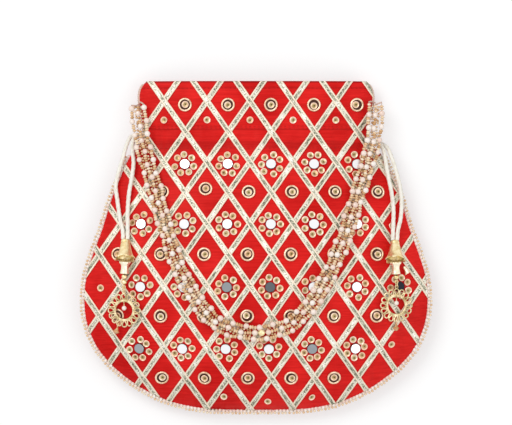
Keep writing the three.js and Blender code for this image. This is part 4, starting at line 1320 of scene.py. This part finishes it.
        # Painted shade: a near-black disc under each button ring darkens its groove, partly standing for a
        # dark setting.
        bases, origins = form.seats(buttons[:, 0], buttons[:, 1], 0.1)
        shade_discs = copies(self.disc(*self.button_setting_shade, 20), bases, origins)
        to_object("button_shade_discs", shade_discs, finishes.setting_shade)

        # Painted shade round each mirror, as a near-black disc that also stands for its dark setting.
        bases, origins = form.seats(flowers[:, 0], flowers[:, 1], 0.15)
        shade_discs = copies(self.disc(*self.mirror_setting_shade, 24), bases, origins)
        to_object("mirror_shade_discs", shade_discs, finishes.setting_shade)
        lean = np.concatenate([rng.normal(0, 0.03, (count, 2)), np.zeros((count, 1))], axis=1)
        bases, origins = form.seats(flowers[:, 0], flowers[:, 1], self.mirror_lift + 0.12, 0.0, lean)
        # Each mirror takes the painted dark reflection of a listed place within 8 mm of it.
        dark_reflections = np.array(self.dark_reflections)
        near = np.linalg.norm(flowers[:, None, :] - dark_reflections[None, :, :2], axis=2) < 8
        dull = (near * dark_reflections[None, :, 2]).max(axis=1)
        glass = copies(self.disc(self.mirror, 0.6, 32), bases, origins, {"dull": dull})
        mirrors = to_object("round_mirrors", glass, finishes.mirror, crease=30)
        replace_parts(mirrors, *[f"mirror_{k:02d}" for k in range(1, count + 1)])


@dataclass(frozen=True)
class Edging:
    """The picot trim along the seam: a thread with pearl-white beads, and a gold bead outside each gap."""

    bead: float = 1.25
    gap: float = -0.4
    picot: float = 0.95
    picot_out: float = 1.6
    thread: float = 0.42
    top_y: float = 66.0
    pitch: float = 2.55

    def route(self, form: BagForm) -> np.ndarray:
        """The seam's line moved out by the bead's radius, from the left neck round to the right one."""
        curve = spline(np.array(form.side_seam, float), 30)
        curve = curve[curve[:, 1] < self.top_y]
        along = unit(np.gradient(curve, axis=0))
        out = self.bead + self.gap
        side = np.stack([curve[:, 0] - along[:, 1] * out, curve[:, 1] + along[:, 0] * out,
                         form.seam(curve[:, 1])], axis=1)
        side = side[side[:, 0] > 12]
        left = side * np.array([-1, 1, 1])
        return smooth_route(np.vstack([left[::6], side[::-1][::6]]), 1.0)

    def build(self, form: BagForm, finishes: Finishes) -> None:
        """Make the thread and both rows of beads.

        Args:
            form: the bag.
            finishes: the materials.
        """
        rng = np.random.default_rng(3)
        route = self.route(form)
        reach = distances(route)
        stations = np.arange(1.0, reach[-1] - 1.0, self.pitch)
        middle = read_at(stations, reach, route)
        middle = middle + rng.normal(0, 0.08, middle.shape)
        between = read_at(stations + self.pitch / 2, reach, route)
        tangent = unit(np.gradient(between, axis=0))
        aside = np.stack([tangent[:, 1], -tangent[:, 0], 0 * tangent[:, 0]], axis=1)
        outside = between + aside * self.picot_out
        outside = outside + rng.normal(0, 0.15, outside.shape)
        upright = np.broadcast_to(np.eye(3), (len(stations), 3, 3))
        pearls = copies(ball(self.bead, 8, 5), upright, middle, {"tint": rng.uniform(0.1, 1, len(stations))})
        seeds = copies(ball(self.picot, 8, 4), upright, outside,
                       {"tint": rng.uniform(0.4, 1, len(stations))})
        thread = to_object("edging_thread", swept(route, self.thread, 6), finishes.thread)
        trim = to_object("edging_beads", pearls, finishes.pearl)
        to_object("edging_picots", seeds, finishes.seed)
        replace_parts(trim, "bead_edging")
        log.info("%s carries %d beads", thread.name, len(stations))


# Cords, garland and tassels


@dataclass(frozen=True)
class Drawstring:
    """One of the four free ends of the two drawstrings, from the slit in the seam to its tassel's cap."""

    name: str
    route: tuple
    radius: float = 1.5

    def build(self, form: BagForm, finishes: Finishes) -> None:
        """Args:
            form: the bag, without its cloth's fine relief.
            finishes: the materials.
        """
        line = smooth_route(form.over_front(np.array(self.route, float)), 0.7)
        cord = to_object(f"cord_leg_{self.name}", swept(line, self.radius, 18, 0.55, 3, 0.16),
                         finishes.cord)
        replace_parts(cord, f"drawstring_leg_{self.name}")


EXIT_RISE = 1.75
DRAWSTRINGS = (
    Drawstring("left_front", (
        (-80.7, 80.4, EXIT_RISE), (-84, 80.4, 1.9), (-86.8, 79, 2.3), (-88, 74, 2.9), (-88, 68, 3.6),
        (-87.2, 60, 3.9), (-88.4, 50, 3.7), (-90.4, 38, 3.4), (-91.2, 26, 3.5), (-91.1, 14, 4.4),
        (-91, 5.8, 4.8))),
    Drawstring("left_back", (
        (-80.7, 80.4, -EXIT_RISE), (-85, 80.4, -1.8), (-89.6, 79, -0.8), (-92.6, 73, 1.2), (-95, 64, 3.2),
        (-98, 54, 3.8), (-100, 44, 3.8), (-98.6, 33, 3.5), (-96.6, 20, 3.7), (-94.6, 12, 4.4),
        (-94.2, 5.8, 4.8))),
    Drawstring("right_front", (
        (82.6, 74.2, EXIT_RISE), (86.4, 74.2, 1.9), (89.6, 72.6, 2.4), (91.4, 68, 3.1), (92.4, 62, 3.9),
        (94, 52, 3.9), (96.4, 40, 3.5), (97.8, 27, 3.5), (97.4, 14, 4.4), (97, 5, 4.8))),
    Drawstring("right_back", (
        (82.6, 74.2, -EXIT_RISE), (88, 74.6, -1.7), (93.4, 71.8, -0.2), (96.6, 65, 2), (99.6, 56, 3.7),
        (102.6, 44, 3.9), (103.8, 33, 3.7), (103, 21, 3.7), (100.8, 12, 4.4), (100.2, 5, 4.8))),
)


@dataclass(frozen=True)
class Garland:
    """The handle: three strands of pearls with seed beads between them, and a gold bead in the middle."""

    left: tuple = (
        (-84.4, 101.5, 5.1), (-84.2, 97, 5.7), (-82.6, 88, 7), (-81.4, 77.3, 7.4), (-79.4, 68, 6.6),
        (-76.8, 58.8, 5),
        (-74.1, 48.8, 4.1), (-71.2, 40.2, 4), (-68.7, 30.3, 4), (-66, 20.3, 4), (-62.6, 10, 4), (-58, -6, 4),
        (-53, -17.5, 4), (-48, -26.5, 4), (-42.7, -35.3, 4), (-37, -43.8, 4), (-29.9, -51.2, 4),
        (-21.4, -56, 4),
        (-11.4, -59.2, 4), (1.2, -60.1, 4),
    )
    right: tuple = (
        (6.6, -59.8, 4), (18, -57, 4), (26.5, -52.4, 4), (34.2, -45.6, 4), (40, -38.1, 4), (45.6, -29.6, 4),
        (50, -21.4, 4), (53.8, -13.9, 4), (57.7, -5.3, 4), (61.6, 4.6, 4), (65, 13.6, 4), (68.2, 24.6, 4),
        (72.2, 38.1, 4), (75.9, 48.8, 4.1), (79.6, 60.4, 5.4), (82.6, 71.6, 7), (84.4, 83, 7.2),
        (85.2, 94, 5.8),
        (85.1, 103.6, 4.9),
    )
    spacing: float = 4.3
    spread: float = 4.6
    wobble: float = 0.45
    pearl: float = 2.1
    seed: float = 1.5
    seed_stretch: float = 0.64
    filler: float = 0.95
    repeat: float = 9.6
    thread: float = 0.3
    centre_bead: float = 2.5
    centre: tuple = (3.9, -59.85, 4.4)
    winding: float = 1.1
    winding_reach: tuple = (116.2, 98.5)

    def beside(self, route: np.ndarray, offset: int) -> np.ndarray:
        """The middle strand's route moved to its side, further beside the neck.

        Args:
            route: the middle strand's points.
            offset: 1 for the inner strand, -1 for the outer one, 0 for the middle one.

        Returns:
            The strand's own points.
        """
        ahead = np.vstack([route[1:], route[-1:]])
        behind = np.vstack([route[:1], route[:-1]])
        along = unit((ahead - behind)[:, :2])
        spacing = self.spacing + (self.spread - self.spacing) * smoothstep(route[:, 1], 20, 80)
        shift = np.stack([-along[:, 1], along[:, 0]], axis=1) * (spacing * offset)[:, None]
        return np.hstack([route[:, :2] + shift, route[:, 2:]])

    def strand(self, name: str, node: str, points: np.ndarray, form: BagForm, finishes: Finishes,
               rng: np.random.Generator) -> None:
        """Beads sit at distances along the thread: a pearl at 2 of every 9.6 mm, then three seeds. The middle
        strand's left half is counted from the gold bead, so that a pearl touches it.

        Args:
            name: the strand's name.
            node: the CAD node that it stands for.
            points: its route.
            form: the bag, without its cloth's fine relief.
            finishes: the materials.
            rng: source of the beads' sizes and tones.
        """
        line = smooth_route(form.over_front(points), 0.5)
        reach = distances(line)
        along, aside, up = route_frames(line)
        phase = rng.uniform(0, 6, 2)
        sway = self.wobble * (np.sin(0.26 * reach + phase[0]) + 0.5 * np.sin(0.61 * reach + phase[1]))
        line = line + aside * (sway * np.minimum(1, np.minimum(reach, reach[-1] - reach) / 12))[:, None]
        starts = np.arange(0, reach[-1] - 2 * self.pearl, self.repeat)
        pearl_at = starts + self.pearl
        free = (self.repeat - 2 * self.pearl) / 3
        seed_at = (starts[:, None] + 2 * self.pearl + free * (np.arange(3) + 0.5)[None, :]).ravel()
        seed_at = seed_at[seed_at < reach[-1] - self.seed]
        if name == "middle_left":
            pearl_at, seed_at = reach[-1] - pearl_at, reach[-1] - seed_at

        def beads(at: np.ndarray, template: Surface, jitter: float, low: float,
                  beside: float = 0.0) -> Surface:
            """Copies of a bead at distances along the thread, each a little off it and of its own tone."""
            at = at + rng.normal(0, jitter, len(at))
            frames = [read_at(at, reach, axis) for axis in (-aside, along, up)]
            origin = read_at(at, reach, line)
            origin = origin + rng.normal(0, jitter, origin.shape)
            origin = origin + frames[0] * beside - frames[2] * abs(beside) / 3
            size = rng.uniform(0.93, 1.03, len(at))[:, None, None]
            return copies(template, np.stack(frames, axis=2) * size, origin,
                          {"tint": rng.uniform(low, 1, len(at))})

        pearls = to_object(f"pearls_{name}", beads(pearl_at, ball(self.pearl, 12, 7), 0.16, 0.2),
                           finishes.pearl)
        small = [beads(seed_at, ball(self.seed, 9, 5, self.seed_stretch), 0.12, 0.0)]
        if node.startswith("bead_strand_middle"):
            filled = np.arange(2.0, reach[-1] - 2.0, 2.3)
            small += [beads(filled, ball(self.filler, 7, 3), 0.2, 0.0, way * self.spacing / 2)
                      for way in (-1, 1)]
        seeds = to_object(f"seeds_{name}", join(small), finishes.seed)
        thread = to_object(f"thread_{name}", swept(line, self.thread, 6), finishes.thread)
        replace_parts(pearls, node)

    def wound(self, side: Side, ends: np.ndarray, form: BagForm) -> Surface:
        """Thread sewn over the seam beside the hem, and one tie from it to each strand's end.

        Args:
            side: the bag's side.
            ends: the strands' ends.
            form: the bag, without its cloth's fine relief.

        Returns:
            The thread and the ties.
        """
        y = np.linspace(*self.winding_reach, 30)
        line = np.stack([side.value * (form.half_width(y) - 0.2), y, form.seam(y) + 1.0], axis=1)
        parts = [swept(smooth_route(line, 0.4), self.winding, 14, 2.4, 2, 0.28)]
        for k, end in enumerate(ends):
            tie = line[-4 - 3 * k] + np.array([0, 0, 0.6])
            middle = (end + tie) / 2 + np.array([0, 0.4, 0.5])
            route = smooth_route(np.stack([end, middle, tie]), 0.8)
            parts.append(swept(route, 2 * self.thread, 8, 1.6, 2, 0.2))
        return join(parts)

    def build(self, form: BagForm, finishes: Finishes) -> None:
        """Make the strands, the middle bead and the windings.

        Args:
            form: the bag, without its cloth's fine relief.
            finishes: the materials.
        """
        rng = np.random.default_rng(17)
        left, right = np.array(self.left, float), np.array(self.right, float)
        whole = np.vstack([left, right])
        self.strand("inner", "bead_strand_inner", self.beside(whole, 1), form, finishes, rng)
        self.strand("outer", "bead_strand_outer", self.beside(whole, -1), form, finishes, rng)
        self.strand("middle_left", "bead_strand_middle_left", left, form, finishes, rng)
        self.strand("middle_right", "bead_strand_middle_right", right, form, finishes, rng)
        profile = np.array([[0, -1], [0.3, -0.95], [0.6, -0.8], [0.85, -0.52], [1, 0], [0.85, 0.52],
                            [0.6, 0.8], [0.3, 0.95], [0, 1]])
        bead = turned(self.centre_bead * profile, 40, 10, 0.05)
        middle = form.over_front(np.array(self.centre, float))
        placed = bead.moved(basis_of(np.array([1.0, 0, 0]), UP), middle)
        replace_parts(to_object("gold_middle_bead", placed, finishes.gold), "centre_bead")
        ends = {Side.LEFT: [self.beside(whole, k)[0] for k in (-1, 0, 1)],
                Side.RIGHT: [self.beside(whole, k)[-1] for k in (-1, 0, 1)]}
        for side in Side:
            wound = self.wound(side, form.over_front(np.array(ends[side])), form)
            piece = to_object(f"thread_winding_{side.word}", wound, finishes.thread)
            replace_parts(piece, f"handle_winding_{side.word}")


@dataclass(frozen=True)
class Tassel:
    """One tassel: cap, bell and beads on a pin, jump ring, ring pendant, pearl drop and amber drop."""

    side: Side
    x: float
    cap_y: float
    pendant_y: float
    amber_petal: int
    beads: tuple
    fit: float = 0.3
    cap_length: float = 14.6
    cap_rest: float = 4.8
    rim_rest: float = 8.9
    pin_start: float = 0.62
    bell_length: float = 7.2
    bead: float = 1.9
    hole: float = 0.7
    loop: float = 1.1
    loop_wire: float = 0.35
    eye_wire: float = 0.3
    jump_ring: float = 1.7
    jump_wire: float = 0.3
    pendant_rest: float = 3.4
    peak: float = 12.2
    inner_rim: float = 6.0
    slot_inner: float = 7.5
    slot_outer: float = 10.4
    petals: int = 16
    petal_width: float = 2.25
    petal_wire: tuple = (0.5, 0.6)
    rim_wire: float = 0.75
    step_wire: float = 0.42
    drop_wire: float = 0.3
    pearl_loop: float = 1.6
    pearl_pin: float = 2.2
    pearl: float = 1.7
    amber_loop: float = 1.75
    amber: float = 2.5
    amber_length: float = 5.2

    def cap(self) -> Surface:
        """A flower-shaped cap: a narrow collar flaring to six petals, hollow underneath."""
        outer = [[0, 0.25], [1.6, 0.4], [2.7, 0.15], [3.2, -0.5], [3.3, -1.4], [3.15, -2.1], [3.35, -2.6],
                 [3.55, -3.4],
                 [3.8, -4.8], [4.15, -6.4], [4.5, -8.2], [4.95, -10], [5.6, -11.8], [6.4, -13.4],
                 [7.0, -14.6]]
        inner = [[6.8, -14.8], [6.1, -13.8], [5.2, -12], [4.55, -10], [3.9, -7.6], [3.2, -5.4], [1.6, -4.4],
                 [0, -4]]
        return flower(turned(np.array(outer + inner), 72, 6, 0.11), 6, 1.3, self.cap_length)

    def bell(self) -> Surface:
        """The inner bell: petals at its top, a narrow waist and a rounded mouth, with a hole for the pin."""
        profile = np.array([
            [0.7, 2.2], [2.6, 2.25], [3.7, 1.7], [4.2, 0.9], [3.9, 0.2], [3.2, -0.6], [2.75, -1.5],
            [2.6, -2.6],
            [2.65, -4.1], [2.8, -5.1], [3.0, -6.0], [3.2, -6.7], [3.1, -7.2], [2.7, -7.15], [2.4, -6.2],
            [2.1, -4.8],
            [2.0, -3.0], [2.2, -1.2], [2.6, 0.4], [0.7, 1.2],
        ])
        return turned(profile, 48, 8, 0.07, closed=True)

    def drilled(self) -> Surface:
        """A round bead with a hole: an arc turned about the hole's axis."""
        half = np.arccos(self.hole / self.bead)
        arc = np.linspace(-half, half, 12)
        return turned(self.bead * np.stack([np.cos(arc), np.sin(arc)], axis=1), 24, closed=True)

    def pin(self, length: float) -> Surface:
        """The pin: a round head, a wire and an eye at its lower end."""
        stem_end = -(length - self.loop)
        stem = turned(np.array([[0, 1.0], [0.7, 0.7], [1.0, 0], [0.7, -0.7], [0.4, -1.0], [0.4, stem_end],
                                [0, stem_end]]),
                      14)
        eye = wire_ring(self.loop, self.loop_wire, 28, 8).moved(np.eye(3), np.array([0, -length, 0]))
        return join([stem, eye])

    @property
    def loop_y(self) -> float:
        """Height of the pendant's own loop over its middle."""
        return self.peak + self.loop + self.loop_wire - 0.4

    @property
    def rim_middle(self) -> float:
        """Radius of the milled rim's middle line."""
        return (self.inner_rim + self.slot_inner) / 2

    def pendant(self) -> Surface:
        """Filigree ring: a milled ring, a plain one round it, and sixteen open teardrops that touch.

        With c = (1 - cos t) / 2, a teardrop's line runs inner + reach c outwards and about width c sin t
        aside, swept with a round wire; the pendant's loop stands at its top.
        """
        t = circle(28)
        rho = self.slot_inner - 0.3 + (self.peak - 0.45 - self.slot_inner + 0.3) * (1 - np.cos(t)) / 2
        aside = self.petal_width * np.sin(t) * (0.25 + 0.75 * (1 - np.cos(t)) / 2)
        line = np.stack([rho, aside, 0 * t], axis=1)
        along = unit(np.roll(line, -1, axis=0) - np.roll(line, 1, axis=0))
        sideways = np.cross(UP, along)
        b = circle(7)
        rings = (line[:, None] + self.petal_wire[0] * np.cos(b)[None, :, None] * sideways[:, None]
                 + self.petal_wire[1] * np.sin(b)[None, :, None] * UP)
        drop = ring_surface(rings, {"reach": np.ones(rings.shape[:2])})
        angle = 2 * np.pi * np.arange(self.petals) / self.petals
        cos, sin, zero, one = np.cos(angle), np.sin(angle), 0 * angle, 1 + 0 * angle
        turn = np.stack([np.stack([cos, -sin, zero], 1), np.stack([sin, cos, zero], 1),
                         np.stack([zero, zero, one], 1)], 1)
        petals = copies(drop, turn, np.zeros((self.petals, 3)))
        rim = wire_ring(self.rim_middle, self.rim_wire, 120, 8, milled=30, depth=0.1)
        step = wire_ring(self.slot_inner + 0.05, self.step_wire, 72, 8)
        eye = wire_ring(self.loop, self.eye_wire, 28, 8).moved(np.eye(3), np.array([0, self.loop_y, 0]))
        return join([petals, rim, step, eye])

    def build(self, form: BagForm, finishes: Finishes) -> None:
        """Make the tassel's pieces where the CAD model has them.

        Args:
            form: the bag, without its cloth's fine relief.
            finishes: the materials.
        """
        word = self.side.word
        spot = np.array([self.x, self.pendant_y])
        normal = form.normal(spot[:1], spot[1:], 0.5)[0]
        right = np.cross([0.0, 1.0, 0.0], normal)
        right /= np.linalg.norm(right)
        up = np.cross(normal, right)
        centre = form.over_front(np.array([self.x, self.pendant_y, 0.0])) + normal * self.pendant_rest
        ring_at = centre + up * (self.loop_y + self.jump_ring)
        cap_top = form.over_front(np.array([self.x, self.cap_y, self.cap_rest]))
        cap_rim = form.over_front(np.array([self.x, self.cap_y - self.cap_length, self.rim_rest]))
        cap = self.cap().moved(basis_of(cap_top - cap_rim, normal), cap_top)
        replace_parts(to_object(f"flower_cap_{word}", cap, finishes.gold), f"cord_cap_{word}")

        pin_top = cap_top + (cap_rim - cap_top) * self.pin_start
        hang = basis_of(pin_top - ring_at, normal)
        length = float(np.linalg.norm(pin_top - ring_at)) - self.jump_ring
        pin = to_object(f"head_pin_{word}", self.pin(length).moved(hang, pin_top), finishes.gold)
        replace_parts(pin, f"tassel_pin_{word}")
        span = 2 * np.sqrt(self.bead**2 - self.hole**2)
        low = -length + self.loop + self.loop_wire + self.fit + span / 2
        for k, name in enumerate(self.beads):
            at = pin_top + hang @ np.array([0, low + k * (span + self.fit), 0])
            bead = to_object(f"gold_bead_{name}_{word}", self.drilled().moved(hang, at), finishes.gold)
            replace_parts(bead, f"metal_bead_{name}_{word}")
        bell_y = low + (len(self.beads) - 0.5) * (span + self.fit) + self.fit / 2 + self.bell_length
        bell = self.bell().moved(hang, pin_top + hang @ np.array([0, bell_y, 0]))
        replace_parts(to_object(f"petal_bell_{word}", bell, finishes.cream), f"inner_bell_{word}")

        lie = basis_of(up, normal)
        link = wire_ring(self.jump_ring, self.jump_wire, 36, 8, plane="yz").moved(lie, ring_at)
        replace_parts(to_object(f"gold_link_{word}", link, finishes.gold), f"jump_ring_{word}")
        pendant = to_object(f"filigree_ring_{word}", self.pendant().moved(lie, centre), finishes.antique,
                            f"{word}_pendant")
        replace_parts(pendant, f"pendant_{word}")

        pearl_at = centre + lie @ np.array([0, self.rim_middle, 0])
        top = -self.pearl_loop
        stem = turned(np.array([[0, top + 0.2], [self.drop_wire, top],
                                [self.drop_wire, top - self.pearl_pin],
                                [0, top - self.pearl_pin]]), 10)
        wire = join([wire_ring(self.pearl_loop, self.drop_wire, 32, 8, plane="yz"), stem])
        to_object(f"pearl_wire_{word}", wire.moved(lie, pearl_at), finishes.gold,
                  f"{word}_pearl_drop")
        pearl_y = top - self.pearl_pin - self.pearl + 0.3
        pearl = ball(self.pearl, 24, 13).moved(lie, pearl_at + lie @ np.array([0, pearl_y, 0]))
        pearl.values["tint"] = np.full(len(pearl.points), 0.8)
        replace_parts(to_object(f"hung_pearl_{word}", pearl, finishes.pearl, f"{word}_pearl_drop"),
                    f"pearl_drop_{word}")

        angle = 2 * np.pi * self.amber_petal / self.petals
        hang_r = (self.slot_outer + self.peak) / 2
        amber_at = centre + lie @ np.array([hang_r * np.cos(angle), hang_r * np.sin(angle), 0])
        spin = angle + np.pi / 2
        turn = lie @ np.array([[np.cos(spin), -np.sin(spin), 0], [np.sin(spin), np.cos(spin), 0], [0, 0, 1]])
        link = wire_ring(self.amber_loop, self.drop_wire, 32, 8, plane="yz").moved(turn, amber_at)
        to_object(f"amber_wire_{word}", link, finishes.gold, f"{word}_amber_drop")
        top = -self.amber_loop
        size = self.amber_length
        profile = np.array([[0, top], [0.45, top - 0.15], [0.8, top - 0.7], [1.25, top - size * 0.4],
                            [self.amber, top - size * 0.65], [1.5, top - size * 0.82],
                            [0.9, top - size * 0.95],
                            [0, top - size]])
        amber = turned(profile, 16).moved(turn, amber_at)
        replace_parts(to_object(f"amber_bead_{word}", amber, finishes.amber, f"{word}_amber_drop",
                              crease=18),
                    f"amber_drop_{word}")


def flower(surface: Surface, petals: int, scallop: float, length: float) -> Surface:
    """Cut a cap's rim into petals: its points near the rim rise by scallop (1 - cos(petals a)) / 2.

    Args:
        surface: a cap turned about Y, its rim at -length.
        petals: how many.
        scallop: how far the rim rises between two petals.
        length: of the cap.

    Returns:
        The same surface, changed.
    """
    x, y, z = surface.points.T
    share = np.clip(-y / length, 0, 1) ** 5
    surface.points[:, 1] += scallop * share * (1 - np.cos(petals * np.arctan2(z, x))) / 2
    return surface


@dataclass(frozen=True)
class SideBell:
    """The small bell beside the right tassel's beads."""

    spot: tuple = (98.6 + 6.4, 4.4 - 18, 3.1)
    turn: float = 0.6

    def build(self, form: BagForm, finishes: Finishes) -> None:
        """Make the bell, hollow from below."""
        profile = np.array([[0, 0.1], [0.7, 0], [1.15, -0.5], [1.25, -1.2], [1.2, -2], [1.5, -3],
                            [1.95, -4.2],
                            [2.4, -5.4], [2.4, -5.65], [2.0, -5.6], [1.5, -4.3], [1.0, -3.1], [0, -2.6]])
        up = np.array([-np.sin(self.turn), np.cos(self.turn), 0])
        at = form.over_front(np.array(self.spot, float))
        bell = flower(turned(profile, 48, 8, 0.06), 8, 0.4, 5.6)
        bell = bell.moved(basis_of(up, UP), at)
        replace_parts(to_object("small_bell_right", bell, finishes.cream), "side_bell_right")


TASSELS = (
    Tassel(Side.LEFT, -92.6, 5.2, -44.2, 11, ("lower", "upper")),
    Tassel(Side.RIGHT, 98.6, 4.4, -40.8, 12, ("lower",)),
)


# Studio


@dataclass(frozen=True)
class Studio:
    """Camera straight over the bag, a pale floor, two soft lamps and an even sky."""

    lens: float = 200.0
    sensor: float = 36.0
    view_width: float = 0.3647
    plane: float = 0.018
    middle_y: float = 0.02493
    sky: float = 0.62

    def camera(self) -> None:
        """Look straight down, with the photograph's frame on the plane of the bag's front."""
        data = bpy.data.cameras.new("camera")
        data.lens = self.lens
        data.sensor_width = self.sensor
        camera = bpy.data.objects.new("camera", data)
        bpy.context.scene.collection.objects.link(camera)
        camera.location = (0, self.middle_y, self.plane + self.view_width * self.lens / self.sensor)
        data.clip_end = 20
        bpy.context.scene.camera = camera

    def lamp(self, name: str, place: tuple, size: float, power: float) -> None:
        """A square soft lamp aimed at the bag.

        Args:
            name: its name.
            place: where it hangs, in metres.
            size: its side.
            power: in watts.
        """
        data = bpy.data.lights.new(name, "AREA")
        data.shape = "SQUARE"
        data.size = size
        data.energy = power
        lamp = bpy.data.objects.new(name, data)
        bpy.context.scene.collection.objects.link(lamp)
        lamp.location = place
        aim = np.array([0, 0.01, 0.02]) - np.array(place)
        level = np.hypot(aim[0], aim[1])
        lamp.rotation_euler = (np.arctan2(level, -aim[2]), 0, np.arctan2(-aim[0], aim[1]))

    def build(self, floor_finish: bpy.types.Material) -> None:
        """Make the floor, the lamps and the sky.

        Args:
            floor_finish: the floor's material.
        """
        reach, under = 6.0, -0.0004
        corners = [(x * reach, y * reach, under) for x, y in ((-1, -1), (1, -1), (1, 1), (-1, 1))]
        mesh = bpy.data.meshes.new("floor")
        mesh.from_pydata(corners, [], [(0, 1, 2, 3)])
        mesh.materials.append(floor_finish)
        floor = bpy.data.objects.new("floor", mesh)
        bpy.context.scene.collection.objects.link(floor)
        self.lamp("key", (-0.7, 0.75, 1.25), 0.9, 9.0)
        self.lamp("fill", (0.95, -0.4, 1.1), 1.3, 4.0)
        world = bpy.data.worlds.new("sky")
        world.use_nodes = True
        tree = world.node_tree
        light, seen = tree.nodes["Background"], tree.nodes.new("ShaderNodeBackground")
        for node, strength in ((light, self.sky), (seen, 1.0)):
            node.inputs["Color"].default_value = (1, 1, 1, 1)
            node.inputs["Strength"].default_value = strength
        path = tree.nodes.new("ShaderNodeLightPath")
        share = path.outputs["Is Camera Ray"]
        for ray in ("Is Glossy Ray", "Is Transmission Ray"):
            either = tree.nodes.new("ShaderNodeMath")
            either.operation = "MAXIMUM"
            tree.links.new(share, either.inputs[0])
            tree.links.new(path.outputs[ray], either.inputs[1])
            share = either.outputs[0]
        mix = tree.nodes.new("ShaderNodeMixShader")
        for index, output in enumerate((share, light.outputs[0], seen.outputs[0])):
            tree.links.new(output, mix.inputs[index])
        tree.links.new(mix.outputs[0], tree.nodes["World Output"].inputs["Surface"])
        bpy.context.scene.world = world
        bpy.context.scene.view_settings.view_transform = "Standard"


def main() -> None:
    """Build the whole scene: camera and cords first, then the cloth and everything sewn on it."""
    logging.basicConfig(level=logging.INFO, format="%(name)s: %(message)s")
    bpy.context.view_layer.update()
    cloth = BagForm()
    plain = BagForm(cloth=0.0)
    studio = Studio()
    studio.camera()
    finishes = Finishes()
    for drawstring in DRAWSTRINGS:
        drawstring.build(plain, finishes)
    Garland().build(plain, finishes)
    for tassel in TASSELS:
        tassel.build(plain, finishes)
    SideBell().build(plain, finishes)
    Panels(cloth, finishes).build(frame["nodes"])
    lattice = Lattice()
    lattice.build(cloth, finishes)
    Ornaments(lattice).build(cloth, finishes)
    Edging().build(cloth, finishes)
    studio.build(FloorFinish().build())


if __name__ == "__main__":
    main()
